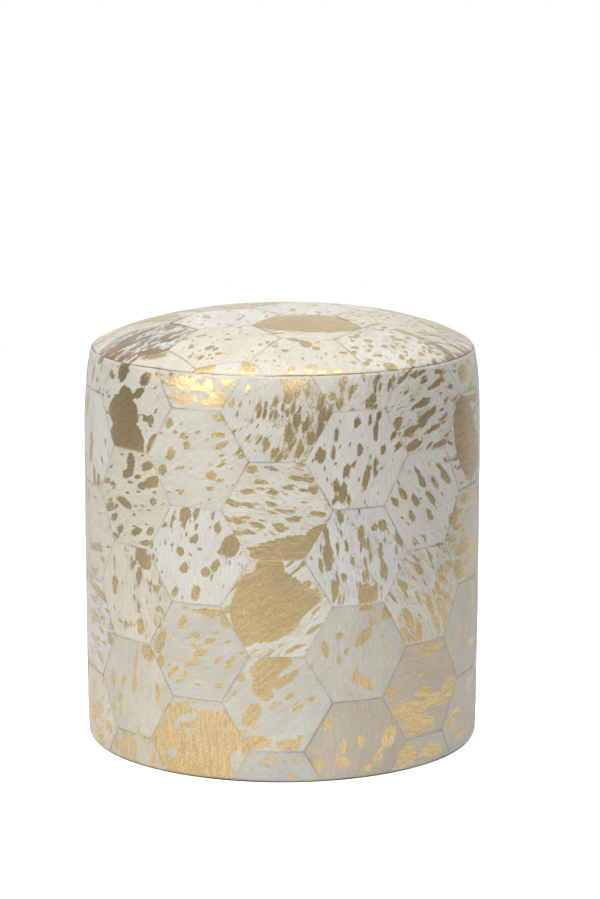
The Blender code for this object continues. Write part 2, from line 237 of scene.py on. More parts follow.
WALL_LOOKS = {
    (0, 4): look(WHITE, 72, (8, 3.2, 0.44), (
        (-1, 12, 7, 3.2, 80), (11, 15, 7, 5, 70), (-17, 8, 6, 2, 65), (-43, 9, 6, 3, 60),
        (20, -8, 8, 3.5, 72), (28, -12, 8, 3.5, 70), (12, -22, 7, 5, 70), (33, -25, 7, 4, 72),
        (-11, -29, 6, 3, 70), (45, 0, 7, 3, 70), (22, -36, 7, 4, 70), (17, 28, 12, 4, 0)),
        drift=(0.004, -0.002)),
    (0, 3): look(WHITE, -15, (9, 3.2, 0.38), (
        (-41, 7, 8, 3, -22), (-28, 6, 6, 3, -10), (-29, 19, 7, 3, -5), (-5, 19, 6, 3, -15),
        (-5, 7, 7, 3, -20), (4, 1, 6, 2.5, -20), (-40, -10, 7, 3.5, -10), (-19, -14, 8, 3, -15),
        (3, -15, 8, 3, -12), (-25, 42, 8, 3, -5), (-4, 42, 7, 2.5, -15), (35, 21, 6, 4, -10),
        (40, -3, 9, 3, -10), (20, -6, 6, 2, -10), (12, 24, 5, 3, 20), (-40, -22, 8, 3, -10),
        (14, -36, 42, 12, 9), (38, -22, 14, 7, 25))),
    (0, 2): look(WHITE, 35, (12, 3, 0.42), (
        (-9, 2, 40, 34, 40), (-8, 36, 18, 14, 60), (28, 8, 16, 9, 35), (-30, -22, 18, 14, 60)),
        holes=((-42, 32, 16, 5, 45), (30, -26, 24, 5, 35), (2, -47, 30, 6, 5))),
    (0, 1): look(DIM, 33, (8, 3, 0.2), (
        (-6, 39, 22, 11, 25), (-12, 22, 16, 11, 60), (8, 24, 17, 5, 35), (-25, -11, 14, 8, 60),
        (-9, 8, 8, 4, 40), (12, 8, 6, 3, 40), (33, 5, 5, 3, 30), (21, -3, 6, 2, 30),
        (3, 1, 4, 2, 30), (-35, 26, 5, 4, 40), (-43, 10, 4, 3, 40), (-21, -39, 15, 7, 10),
        (12, -41, 13, 6, 0), (23, -34, 4, 3, 0), (-38, -32, 8, 4, 30))),
    (0, 0): look(COOL, -35, (5, 3, 0.36), (
        (-16, 36, 4, 2, 0), (-7, 41, 6, 3, 0), (15, 23, 6, 3, -30))),
    (1, 4): look(WHITE, 66, (7, 3.0, 0.34), (
        (-28, -33, 5, 4, 70), (-21, -40, 6, 4, 60), (-17, -27, 5, 2, 70), (-7, -28, 6, 3, 60),
        (12, -40, 8, 4.6, 50), (20, -20, 9, 3, 60), (-15, -19, 6, 3, 60), (34, -26, 7, 3, 60))),
    (1, 3): look(WHITE, 86, (5, 2, 0.1), (
        (-40, 6, 8, 5.5, 88), (-27, 9, 7, 2.6, 85), (-24, 26, 8, 2.6, 85), (-3, 37, 6, 3.6, 85),
        (0, 9.5, 6.5, 3.2, 88), (11, 36, 6, 2, 88), (20, 41, 7, 3.2, 80), (17, 27, 9, 3.2, 82),
        (25, 8, 6, 3.2, 88), (37, 21, 6, 3, 60), (43, 10, 5, 3.2, 40), (-14, -10, 7, 3.6, 85),
        (-24, -24, 7, 3.2, 85), (-17, -31, 10, 4.6, 80), (-12, -40, 6, 2.6, 88), (7, -19, 14, 4, 72),
        (17, -5, 6, 3, 86), (17, -14, 6, 2.2, 86), (-25, -2, 3, 2, 0), (-26, -40, 5, 2.2, 80),
        (-7, -4, 4, 2, 60), (24, -10, 2, 1.4, 0), (11, 2, 3, 1.6, 70))),
    (1, 2): look(BLUISH, 93, (10, 2.8, 0.34), (
        (-32, 3, 15, 5, 95), (-35, 28, 9, 3.4, 95), (-20, 41, 8, 3.4, 100), (2, 21, 11, 3.2, 92),
        (23, 4, 9, 3.2, 92), (12, 2, 7, 2, 90), (27, -16, 10, 4.5, 95), (-25, -30, 11, 4, 92),
        (-16, -19, 5, 3, 100), (7, -39, 12, 9, 90), (17, -37, 11, 3.5, 90), (44, 13, 9, 3.4, 112),
        (25, 29, 7, 4, 100), (16, 28, 4, 3.5, 90), (-7, -3, 6, 2, 95), (6, -20, 7, 3, 92))),
    (1, 1): look(GREY, 82, (5, 3.2, 0.14), (
        (5, 16, 12, 6, 50), (15, 31, 5, 4, 60), (-35, 6, 9, 3.5, 105), (-21, -5, 5, 3, 80),
        (-20, 19, 4, 3, 0), (-13, 3, 4, 3, 60), (-3, -24, 7, 5, 80), (8, -31, 11, 6, -40),
        (31, 38, 9, 6, 60), (-31, -13, 3, 2, 0), (7, 44, 9, 3, 0), (30, -5, 2.5, 2, 0))),
    (1, 0): look(TAUPE, 86, (4, 2.6, 0.1), (
        (-33, 26, 9, 4.4, 110), (4, 7, 8, 4.6, 95), (35, 7, 11, 8, 60), (-15, 3, 7, 4, 90),
        (-17, -14, 7, 6, 0), (-41, -14, 7, 5, 60), (23, -11, 11, 4, 60), (11, -22, 6, 4, 0),
        (-5, 42, 4, 2, 90), (-20, 38, 3, 2, 0), (-45, 0, 4, 3, 0), (44, 24, 5, 4, 0))),
    (-1, 4): look(WHITE, 10, (6, 3.5, 0.42), (
        (-8, -24, 28, 8, 0), (22, -37, 14, 7, 10), (-12, -38, 18, 4, 0)),
        holes=((6, -20, 7, 3, 20), (-22, -30, 6, 3, 0))),
    (-1, 3): look(OFF_WHITE, 22, (6, 3, 0.18), (
        (23, 25, 7, 3, 0), (27, 15, 9, 3, 20), (-12, 22, 5, 3, 15), (-9, 13, 5, 4, 30),
        (-27, 2, 7, 5, 70), (-37, -14, 6, 5, 60), (17, -15, 6, 4, 10), (-19, -11, 5, 2, 20),
        (27, -4, 5, 2, 35), (-15, -34, 4, 2.4, 30), (-29, 33, 6, 4, 60), (27, 42, 9, 4, 0),
        (47, 9, 6, 5, 60), (16, -28, 4, 2.4, 0), (-22, 25, 3, 2.4, 0), (26, -20, 4, 2, 20))),
    (-1, 2): look(WHITE, 72, (6.5, 2.8, 0.2), (
        (-11, 40, 9, 6, 60), (1, 42, 7, 3, 75), (19, 42, 5, 2, 80), (24, 30, 7, 3, 80),
        (-1, 17, 6, 4, 50), (-17, 3, 5, 5, 0), (-25, 34, 8, 2.4, 70), (37, 13, 13, 9, 65),
        (29, 8, 6, 4, 20), (21, -8, 7, 4, 70), (-12, -13, 6, 5, 60), (11, -15, 5, 5, 0),
        (0, -37, 9, 5, 70), (-23, -38, 6, 4, 60), (-35, 27, 4, 2, 60), (-13, 30, 5, 2.4, 80),
        (4, 8, 3, 2, 0), (-5, 1, 2.4, 2, 0))),
    (-1, 1): look(GREY, 24, (6, 3, 0.22), (
        (-41, 6, 15, 6, 68), (-15, 29, 8, 4, 50), (17, 42, 17, 4, 0), (31, 33, 6, 6, 60),
        (-1, 17, 8, 3, 0), (15, 13, 8, 3, 20), (4, -1, 10, 4, 20), (-4, -11, 9, 3.6, 20),
        (24, -6, 5, 3, 30), (35, -8, 9, 3, 60), (-25, -22, 5, 3, 30), (-12, -24, 6, 3, 20),
        (25, -31, 6, 3, 20), (-41, -15, 7, 5, 60), (22, 22, 6, 2.4, 10), (-2, 6, 5, 2, 0))),
    (-1, 0): look(GREY, 88, (5, 4, 0.1), ((0, -6, 66, 52, 0),),
        holes=((-7, 15, 4, 4, 0), (-28, -10, 6, 4, 20), (-9, 29, 13, 4, 20), (12, 42, 22, 4, 0),
               (-40, 27, 12, 4, 60), (42, -10, 10, 7, 80), (-22, 20, 5, 2, 60), (47, -24, 10, 8, 60),
               (30, 20, 4, 2, 0))),
    (-2, 4): look(OFF_WHITE, 30, (5, 3, 0.2), (
        (-6, -41, 28, 24, 0), (-12, -12, 25, 18, 0), (-8, 4, 12, 10, 0), (-16, 29, 13, 8, 75),
        (26, -14, 9, 4, -5), (34, -38, 13, 7, 60), (31, -21, 3, 2, 0), (20, 24, 9, 6, 40),
        (12, 9, 9, 5, 30), (-36, 22, 7, 3, -20), (38, 30, 7, 3, 0))),
    (-2, 3): look(CREAM, 22, (6.5, 3, 0.24), (
        (2, 34, 12, 6, 85), (-3, 24, 9, 5, 20), (25, 35, 9, 4.4, 20), (31, 20, 11, 6, 25),
        (20, 15, 9, 4, 25), (33, 1, 4.4, 4, 0), (-41, 10, 7, 3, 15), (-28, 10, 5, 2.6, 15),
        (-9, -6, 13, 4.5, -12), (-35, -15, 9, 5, 20), (-27, -24, 7, 4, 20), (-16, -34, 7, 3.6, 35),
        (9, -33, 9, 4, 25), (29, -29, 7, 4, 40), (24, -42, 10, 3, 5), (-24, -42, 8, 3, 0))),
    (-2, 2): look(CREAM, 90, (6, 2.8, 0.22), (
        (-27, 4, 10, 4.4, 90), (-27, 27, 8, 2.4, 90), (19, 38, 13, 9, -45), (13, 19, 9, 4.2, 80),
        (4, 29, 8, 3, 50), (12, -12, 9, 3, 90), (15, -32, 10, 5, 90), (-9, -34, 6, 2.4, 90),
        (-17, -32, 4, 2, 0), (37, 10, 6, 3, 50), (39, -10, 5, 3, 20), (28, 14, 4, 2, 60)),
        drift=(0.004, 0)),
    (-2, 1): look(BEIGE, 82, (5, 2.6, 0.08), (
        (-33, 2, 9, 4.2, 90), (-13, 4, 7, 3, 60), (4, 4, 10, 4, 85), (7, 25, 8, 2.6, 80),
        (37, 0, 12, 3.6, 97), (-20, -15, 7, 3, 60), (-31, -25, 8, 4, 75), (-19, -30, 7, 3.6, 80),
        (9, -43, 6, 3, 90), (24, 39, 9, 8, -30), (44, -18, 5, 3, 90))),
    (-2, 0): look(GREY, 88, (9, 4, 0.5), (
        (-16, 28, 12, 7, 90), (1, 28, 12, 4, 92), (-29, 32, 9, 4, 90))),
    (-3, 4): look(WHITE, 80, (6, 3, 0.25), (
        (-4, -31, 10, 4, 85), (12, -17, 8, 4, 20), (12, -37, 4, 3, 0))),
    (-3, 3): look(WHITE, 95, (9, 3.4, 0.12), (
        (-19, 30, 15, 5, 85), (0, -4, 10, 6, 95), (-4, -18, 9, 6, 80), (8, -38, 11, 4.6, 95),
        (20, -41, 7, 5, 90), (6, 36, 6, 2, 80))),
    (-3, 2): look(CREAM, 5, (9, 3, 0.18), (
        (-17, 32, 9, 6, 20), (4, -16, 21, 4, 6), (20, -12, 8, 3, 30), (1, -42, 14, 4, 5),
        (30, -24, 5, 3, 0), (-20, -30, 8, 3, 0))),
    (-3, 1): look(BLUISH, -12, (8, 3.2, 0.42), (
        (-9, 41, 26, 4, -8), (22, 36, 18, 5, -15), (1, 25, 11, 3, 0), (7, 9, 15, 5, -10),
        (44, -6, 8, 5, -40), (24, -2, 6, 3, -20), (-1, -15, 15, 3.4, -5), (20, -31, 11, 4, -30),
        (-7, -44, 18, 3, -5))),
    (-3, 0): look(CREAM, 40, (7, 3.6, 0.34), (
        (0, 31, 9, 8, 90), (4, 10, 21, 9, 5), (-9, 2, 13, 12, 0), (15, -22, 13, 8, -20),
        (36, -2, 7, 5, 0))),
    (2, 4): look(WHITE, 24, (9, 2.8, 0.38), (
        (23, 27, 10, 2.6, -5), (16, 17, 12, 3.4, 20), (-7, 1, 11, 4, 15), (39, 11, 5, 3, 0),
        (-17, 28, 6, 2.4, 0), (-33, 26, 6, 3, 40), (-1, -12, 15, 4.4, 20), (-11, -21, 12, 3, 20),
        (6, -27, 13, 3, 15), (-24, -25, 9, 4.6, 20), (19, -43, 14, 3.6, 10), (-21, -40, 10, 5, 20),
        (-40, -16, 8, 5, 60), (29, -2, 5, 2, 20), (26, -17, 7, 2, 15)), dull=0.15),
    (2, 3): look(WHITE, -52, (6, 2.4, 0.14), (
        (-8, 19, 8, 4.2, -55), (-33, 10, 8, 3.6, -50), (-43, 3, 6, 3.4, -50), (-17, 1, 8, 4, -50),
        (5, 1, 10, 4, -50), (28, 19, 12, 4.6, -45), (28, 35, 5, 3, -40), (9, 17, 9, 3, -50),
        (-22, -14, 7, 3.6, -60), (3, -16, 8, 3.6, -50), (-15, 30, 6, 2.2, -50), (42, -27, 9, 6, -20),
        (-17, -41, 6, 2.4, -50), (-4, -40, 5, 2, -50), (18, 30, 7, 2.6, -50))),
    (2, 2): look(WHITE, -60, (10, 2.8, 0.42), (
        (-25, -20, 13, 5, -60), (-28, -36, 9, 4.4, -60), (-11, -37, 12, 5, -82), (5, -13, 15, 3.6, -66),
        (17, 3, 9, 3, -60), (25, -20, 17, 6, -56), (17, -35, 11, 4, -70), (37, -10, 13, 3, -50),
        (22, 13, 9, 4, -30), (-12, 28, 11, 3.6, -45), (4, 39, 6, 3, -45), (-33, 15, 9, 3, -45),
        (-16, 38, 9, 2.6, -45), (8, 27, 6, 2, -45), (37, 24, 6, 4, -45), (-13, 0, 9, 2.4, -60))),
    (2, 1): look(TAN, 2, (7, 3, 0.14), (
        (7, 40, 19, 6, 0), (-7, 16, 5, 2.6, 0), (-47, 4, 7, 6, 60), (-3, -3, 12, 5, 0),
        (-20, -18, 25, 9, 4), (-13, -35, 15, 12, 0), (15, -12, 15, 6, 0), (39, -7, 17, 11, 20),
        (28, -17, 13, 5, 10), (8, -35, 10, 5, -35))),
    (2, 0): look(COOL, -20, (7, 4, 0.4), (
        (-23, 34, 14, 9, -50), (12, 30, 15, 8, -10), (-5, 37, 4, 3, 0))),
    (3, 4): look(WHITE, 15, (7, 3, 0.25), (
        (-12, -28, 13, 9, 0), (9, -20, 8, 3, 20), (7, -45, 11, 4, 0))),
    (3, 3): look(WHITE, -10, (9, 3.4, 0.3), (
        (-8, 2, 48, 27, -66), (-16, 12, 20, 26, 0), (7, 40, 26, 3, 0), (18, -16, 20, 22, 0),
        (14, 24, 14, 4, 20)), dull=0.5),
    (3, 2): look(OFF_WHITE, 4, (9, 3.2, 0.4), (
        (-15, 38, 11, 5, 0), (-37, 24, 12, 8, 80), (-1, 24, 11, 3, 5), (-28, 11, 11, 3, 0),
        (-41, -1, 9, 3, 10), (-17, -13, 19, 7, 0), (17, -17, 17, 10, -10), (-25, -33, 14, 9, -40),
        (-6, -28, 9, 4, 10), (24, 35, 18, 7, -20))),
    (3, 1): look(GREY, 86, (6, 3, 0.14), (
        (-4, -6, 10, 4.4, 88), (15, 31, 12, 6, 90), (-20, 0, 5, 3, 90), (16, -21, 13, 4, -10),
        (-43, -8, 5, 3, 60))),
    (3, 0): look(GREY, 10, (7, 3.4, 0.22), (
        (-23, 11, 11, 4, -10), (4, 32, 9, 4, 90), (-36, 3, 10, 7, 60), (-15, -14, 13, 5, 10),
        (17, 36, 6, 5, 0))),
}

TOP_LOOKS = {
    (0, 0): look(CREAM, 82, (3.4, 2.8, 0.24), (
        (-12, 43, 9, 4, -20), (-2, 34, 9, 6, 100), (8, 24, 4, 4, 0), (-22, 18, 4, 3.4, 0),
        (-32, 28, 3, 3, 0), (34, 20, 4, 3, 0), (10, 40, 3, 2, 0), (-16, -17, 6, 4, 80),
        (0, -14, 5, 4, 90), (13, -18, 6, 4, 80), (29, -14, 7, 4, 100), (44, 4, 3, 3, 0))),
    (0, 1): look(WHITE, 4, (10, 3, 0.4), ((2, 8, 58, 36, 0),),
        holes=((-8, -41, 34, 8, 2), (46, -30, 8, 5, 0))),
    (0, 2): look(WHITE, 80, (9, 3, 0.26), ((8, 18, 10, 4, 70), (-14, -20, 9, 3, 80))),
    (0, 3): look(WHITE, 100, (9, 3, 0.2), ((-26, -20, 26, 12, 95),)),
    (-1, -1): look(BLUISH, 60, (6, 4, 0.25), (
        (-22, 41, 17, 9, 10), (24, 36, 12, 7, 110), (6, 38, 4, 3, 0))),
    (-1, 0): look(CREAM, 60, (4.5, 3, 0.24), (
        (-14, -12, 6, 4, 60), (-8, -16, 4, 3, 60), (-32, -2, 6, 2.6, 70), (4, 4, 4, 3, 0),
        (-42, 22, 8, 3, 10), (-24, 24, 7, 3, 10), (-4, -28, 4, 2.4, 0), (-22, -30, 5, 3, 60))),
    (-1, 1): look(WHITE, 80, (8, 3, 0.26), ((-20, 10, 10, 4, 80), (14, -18, 9, 3, 60))),
    (-2, 0): look(CREAM, 40, (6, 3, 0.2), ((12, 45, 15, 7, -30), (-18, 44, 8, 4, 30))),
    (-2, 1): look(BLUISH, 42, (9, 3.2, 0.6), (
        (-26, 4, 24, 9, 42), (-12, 24, 20, 6, 40), (-30, -18, 14, 6, 30), (4, 34, 14, 4, 40),
        (-4, 4, 13, 3, 35), (8, -40, 13, 7, -20), (24, -20, 8, 4, 20)), dull=0.9),
    (1, -1): look(OFF_WHITE, 30, (6, 3, 0.3)),
    (1, 0): look(WHITE, 70, (5.5, 4, 0.4), (
        (-22, 8, 5, 4, 0), (-36, -14, 4, 4, 0), (2, 4, 4, 3, 0), (20, -16, 6, 3, 70),
        (-2, -36, 8, 6, 0), (30, 6, 4, 3, 0), (-12, -22, 4, 3, 0), (8, 26, 6, 4, 20))),
    (1, 1): look(WHITE, 60, (7, 3, 0.5), ((16, -40, 13, 6, -20), (34, -28, 8, 4, 0))),
    (1, 2): look(WHITE, 85, (8, 3, 0.3), ((18, 4, 40, 34, 80),)),
    (2, 1): look(WHITE, 20, (8, 3.0, 0.5), (
        (-28, -12, 17, 6, -40), (-20, -28, 9, 5, -30), (-12, 12, 12, 4, 0)), dull=0.6),
}


def made_up_look(seed):
    """A patch where nothing is known: the same kinds of coat and foil, drawn at random."""
    draw = random.Random(seed)
    coat = draw.choice((WHITE, WHITE, WHITE, OFF_WHITE, OFF_WHITE, CREAM, BEIGE, GREY, TAUPE, BLUISH))
    hair = draw.choice((draw.uniform(60, 110), draw.uniform(-60, -10), draw.uniform(0, 50)))
    kind = draw.random()
    blobs = []
    holes = []
    if kind < 0.12:
        blobs.append((draw.uniform(-6, 6), draw.uniform(-6, 6), 62, 50, 0))
        for _ in range(6):
            place = (draw.uniform(-40, 40), draw.uniform(-36, 36))
            holes.append((*place, draw.uniform(4, 16), draw.uniform(3, 6), hair))
    elif kind < 0.35:
        place = (draw.uniform(-18, 18), draw.uniform(-18, 18))
        blobs.append((*place, draw.uniform(24, 42), draw.uniform(16, 28), hair))
    for _ in range(draw.randint(4, 11)):
        place = (draw.uniform(-42, 42), draw.uniform(-38, 38))
        blobs.append((*place, draw.uniform(5, 13), draw.uniform(2.6, 5.5), hair + draw.gauss(0, 12)))
    fleck = (draw.uniform(5, 12), draw.uniform(2.6, 3.6), draw.uniform(0.12, 0.5))
    return look(coat, hair, fleck, tuple(blobs), tuple(holes))


# ---------------------------------------------------------------- meshes of the patches


def hexagon_template():
    """A hexagon of triangles as weights of its six corners, with fine rings near its edge."""
    inner = 48.1 - RINGS_NEAR_SEAM[-1]
    away = list(RINGS_NEAR_SEAM)
    away += [RINGS_NEAR_SEAM[-1] + inner * (i + 1) / RINGS_INSIDE for i in range(RINGS_INSIDE)]
    shares = [1 - d / 48.1 for d in away][::-1]
    weights = [np.full(6, 1 / 6)]
    starts = [0]
    for ring in range(1, len(shares)):
        starts.append(len(weights))
        for corner in range(6):
            for step in range(ring):
                row = np.full(6, (1 - shares[ring]) / 6)
                row[corner] += shares[ring] * (1 - step / ring)
                row[(corner + 1) % 6] += shares[ring] * step / ring
                weights.append(row)
    faces = []
    for ring in range(1, len(shares)):
        outer, inner_start = starts[ring], starts[ring - 1]
        around, inside = 6 * ring, max(1, 6 * (ring - 1))
        for corner in range(6):
            for step in range(ring):
                a = outer + corner * ring + step
                b = outer + (corner * ring + step + 1) % around
                c = inner_start + (corner * (ring - 1) + step) % inside
                faces.append((a, b, c))
                if step < ring - 1:
                    d = inner_start + (corner * (ring - 1) + step + 1) % inside
                    faces.append((b, d, c))
    return np.array(weights), faces


TEMPLATE, TEMPLATE_FACES = hexagon_template()


def corner_shift(origin, x, y):
    """The same small shift wherever patches share a corner, so that their seams meet."""
    key = round((x - origin[0]) / (COLUMN_PITCH / 3)) * 1009 + round((y - origin[1]) / (HEX_HEIGHT / 4))
    draw = random.Random(key)
    return (draw.uniform(-1, 1) * CORNER_JITTER, draw.uniform(-1, 1) * CORNER_JITTER)


def hexagon(origin, column, row):
    """Middle and corners of a patch in its flat coordinates, anticlockwise from the right."""
    cx = origin[0] + COLUMN_PITCH * column
    cy = origin[1] + HEX_HEIGHT * (row + 0.5 * (column % 2))
    half = HEX_HEIGHT / 2
    shape = [(HEX_HALF_WIDTH, 0), (SHORT_HALF, half), (-SHORT_HALF, half)]
    shape += [(-x, -y) for x, y in shape]
    corners = []
    for x, y in shape:
        dx, dy = corner_shift(origin, cx + x, cy + y)
        corners.append((cx + x + dx, cy + y + dy))
    return (cx, cy), np.array(corners)


def distance_to_edges(flat, corners):
    """Distance in metres from each point to the nearest side of a convex outline."""
    nearest = np.full(len(flat), 1e9)
    for a, b in zip(corners, np.roll(corners, -1, axis=0)):
        along = (b - a) / np.linalg.norm(b - a)
        inward = np.array([-along[1], along[0]])
        nearest = np.minimum(nearest, (flat - a) @ inward)
    return np.maximum(nearest, 0)


def cut_patch(flat, faces, planes, fine):
    """The flat patch cut back to the inside of planes, (point, outward normal), and subdivided
    where fine says that a point is close to a cut."""
    bm = bmesh.new()
    verts = [bm.verts.new((x, y, 0)) for x, y in flat]
    for face in faces:
        bm.faces.new([verts[i] for i in face])
    for point, normal in planes:
        bmesh.ops.bisect_plane(
            bm,
            geom=bm.verts[:] + bm.edges[:] + bm.faces[:],
            dist=1e-7,
            plane_co=(*point, 0),
            plane_no=(*normal, 0),
            clear_outer=True,
        )
    if not bm.faces:
        bm.free()
        return None, None
    for _ in range(2):
        near = [e for e in bm.edges if all(fine(v.co.x, v.co.y) for v in e.verts)]
        near = [e for e in near if e.calc_length() > 0.0008]
        bmesh.ops.subdivide_edges(bm, edges=near, cuts=1, use_grid_fill=True)
    bmesh.ops.remove_doubles(bm, verts=bm.verts[:], dist=0.00004)
    bmesh.ops.triangulate(bm, faces=[f for f in bm.faces if len(f.verts) > 4])
    bm.verts.index_update()
    flat = np.array([(v.co.x, v.co.y) for v in bm.verts])
    faces = [tuple(v.index for v in f.verts) for f in bm.faces]
    bm.free()
    return flat, faces


def ellipse_field(x, y, marks):
    """How deep each point is inside the marks, in mm; negative outside them."""
    field = np.full(len(x), -30.0)
    for mx, my, half_length, half_width, degrees in marks:
        turn = math.radians(degrees)
        along = (x - mx) * math.cos(turn) + (y - my) * math.sin(turn)
        across = -(x - mx) * math.sin(turn) + (y - my) * math.cos(turn)
        reach = np.hypot(along / half_length, across / half_width)
        field = np.maximum(field, (1 - reach) * half_width)
    return field


def boundary_loop(faces):
    """The patch's outline as vertex numbers in order."""
    sides = {}
    for face in faces:
        for a, b in zip(face, face[1:] + face[:1]):
            sides[(a, b)] = True
    following = {a: b for a, b in sides if (b, a) not in sides}
    start = next(iter(following))
    loop = [start]
    while following[loop[-1]] != start and len(loop) <= len(following):
        loop.append(following[loop[-1]])
    return loop


def add_object(name, points, faces):
    mesh = bpy.data.meshes.new(name)
    mesh.from_pydata(points, [], faces)
    obj = bpy.data.objects.new(name, mesh)
    bpy.context.scene.collection.objects.link(obj)
    return obj


def dress(piece, material):
    """Gives a piece its material and slot, and lets it ride the pouf."""
    piece.data.materials.append(material)
    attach(piece, "pouf")


class Cover:
    """Collects patches that are joined into one strip."""

    def __init__(self):
        self.points = []
        self.faces = []
        self.values = {name: [] for name in ("grain", "spots", "coat", "foil", "fleck", "rim", "dull")}
        self.count = 0

    def add(self, points, faces, values):
        self.points.append(points)
        self.faces += [tuple(i + self.count for i in face) for face in faces]
        for name, array in values.items():
            self.values[name].append(array)
        self.count += len(points)

    def build(self, name):
        obj = add_object(name, np.concatenate(self.points).tolist(), self.faces)
        kinds = {"grain": "FLOAT_VECTOR", "spots": "FLOAT_VECTOR", "coat": "FLOAT_COLOR"}
        slots = {"FLOAT_VECTOR": "vector", "FLOAT_COLOR": "color", "FLOAT": "value"}
        for key, arrays in self.values.items():
            kind = kinds.get(key, "FLOAT")
            attribute = obj.data.attributes.new(key, kind, "POINT")
            flat = np.concatenate(arrays).astype(np.float32).ravel()
            attribute.data.foreach_set(slots[kind], flat)
        obj.data.shade_smooth()
        return obj


def patch_values(flat, middle, away, style, seed):
    """What the hide's material reads at each point of a patch."""
    x = (flat[:, 0] - middle[0]) / MM
    y = (flat[:, 1] - middle[1]) / MM
    turn = math.radians(style["hair"])
    along = x * math.cos(turn) + y * math.sin(turn)
    across = -x * math.sin(turn) + y * math.cos(turn)
    bend = 3.0 * np.sin(along / 23 + seed) + 1.2 * np.sin(along / 9 + 2 * seed)
    length, width, amount = style["fleck"]
    foil = ellipse_field(x, y, style["blobs"])
    foil = np.minimum(foil, -ellipse_field(x, y, style["holes"]))
    lift = amount + style["drift"][0] * x + style["drift"][1] * y
    count = len(flat)
    return {
        "grain": np.stack([along, across + bend, np.full(count, seed * 37.0)], axis=1),
        "spots": np.stack([along / length, (across + bend) / width, np.full(count, seed * 3.7)], axis=1),
        "coat": np.tile(np.array([*style["coat"], 1.0]), (count, 1)),
        "foil": foil,
        "fleck": lift,
        # distance from the seam in mm, which drives the painted seam shade
        "rim": away / MM,
        "dull": np.full(count, style["dull"]),
    }


def add_patch(cover, flat, faces, corners, middle, edge_away, place, relief, style, seed):
    """One patch with its pillowed face, the edge turned down into the seam, and its back."""
    between = distance_to_edges(flat, corners)
    away = np.minimum(between, edge_away)
    bare = place(flat, np.zeros(len(flat)))
    tight = 0.4 + 1.1 * clip01(0.4 + 2.0 * slow_noise(bare, 0.07, 9))
    height = -SEAM_DEPTH * tight * np.exp(-((between / SEAM_REACH) ** 1.5))
    height -= TOP_SEAM_DEPTH * np.exp(-((edge_away / TOP_SEAM_REACH) ** 1.3))
    height += relief.at(flat) * clip01(edge_away / (5 * MM))
    height += 0.35 * MM * slow_noise(bare, 0.035, 1) * clip01(away / (6 * MM))
    pucker = np.exp(-edge_away / (9 * MM)) * clip01(away / (2 * MM))
    height += 0.9 * MM * slow_noise(bare, 0.012, 2) * pucker
    front = place(flat, height)
    values = patch_values(flat, middle, away, style, seed)
    loop = boundary_loop(faces)
    rim_flat = flat[loop]
    deep = np.full(len(loop), -HIDE_THICK)
    centre = rim_flat.mean(axis=0)
    steps = (1.0, 0.66, 0.33)
    backs = [place(centre + (rim_flat - centre) * step, deep) for step in steps]
    hub = place(centre[None, :], deep[:1])
    count, ring = len(flat), len(loop)
    faces = list(faces)
    rings = [loop] + [[count + k * ring + i for i in range(ring)] for k in range(len(steps))]
    for outer, inner in zip(rings, rings[1:]):
        for i in range(ring):
            j = (i + 1) % ring
            faces.append((outer[j], outer[i], inner[i], inner[j]))
    last, tip = rings[-1], count + len(steps) * ring
    faces += [(last[(i + 1) % ring], last[i], tip) for i in range(ring)]
    points = np.concatenate([front, *backs, hub])
    picks = np.concatenate([np.arange(count), np.tile(loop, len(steps)), [loop[0]]])
    cover.add(points, faces, {key: array[picks] for key, array in values.items()})


def wall_patch(cover, column, row, relief):
    middle, corners = hexagon(WALL_ORIGIN, column, row)
    flat = TEMPLATE @ corners
    faces = TEMPLATE_FACES
    back_low, back_high = WALL_ORIGIN[0] - BACK, WALL_ORIGIN[0] + BACK
    low, high = corners.min(axis=0), corners.max(axis=0)
    planes = []
    if high[1] > SEAM_Z:
        planes.append(((0, SEAM_Z), (0, 1)))
    if low[1] < LOWEST:
        planes.append(((0, LOWEST), (0, -1)))
    if high[0] > back_high:
        planes.append(((back_high, 0), (1, 0)))
    if low[0] < back_low:
        planes.append(((back_low, 0), (-1, 0)))
    if planes:
        high_band, low_band = SEAM_Z - 5 * MM, LOWEST + 9 * MM
        flat, faces = cut_patch(flat, faces, planes, lambda x, y: y > high_band or y < low_band)
    if flat is None or len(flat) < 8:
        return None
    style = WALL_LOOKS.get((column, row)) or made_up_look(column * 31 + row * 7 + 500)
    sides = np.minimum(flat[:, 0] - back_low, back_high - flat[:, 0])
    between = np.minimum(SEAM_Z - flat[:, 1], sides + 1.2 * MM)
    seed = (column * 7.31 + row * 3.17) % 11
    between = np.maximum(between, 0)
    add_patch(cover, flat, faces, corners, middle, between, wall_points, relief, style, seed)
    return corners


def top_patch(cover, column, row, relief):
    middle, corners = hexagon(TOP_ORIGIN, column, row)
    reach = np.hypot(corners[:, 0], corners[:, 1])
    nearest = max(0.0, np.hypot(*middle) - HEX_HALF_WIDTH)
    if nearest > RIM:
        return None
    flat = TEMPLATE @ corners
    faces = TEMPLATE_FACES
    if reach.max() > RIM:
        planes = []
        for degrees in np.arange(0, 360, 2.0):
            normal = (math.cos(math.radians(degrees)), math.sin(math.radians(degrees)))
            if (corners @ np.array(normal)).max() > RIM:
                planes.append(((normal[0] * RIM, normal[1] * RIM), normal))
        flat, faces = cut_patch(flat, faces, planes, lambda x, y: math.hypot(x, y) > RIM - 7 * MM)
    if flat is None or len(flat) < 8:
        return None
    style = TOP_LOOKS.get((column, row)) or made_up_look(column * 17 + row * 5 + 901)
    between = np.maximum(RIM - np.hypot(flat[:, 0], flat[:, 1]), 0)
    seed = (column * 5.13 + row * 2.71 + 4) % 11
    add_patch(cover, flat, faces, corners, middle, between, top_points, relief, style, seed)
    return corners


# ---------------------------------------------------------------- the filled-out cover


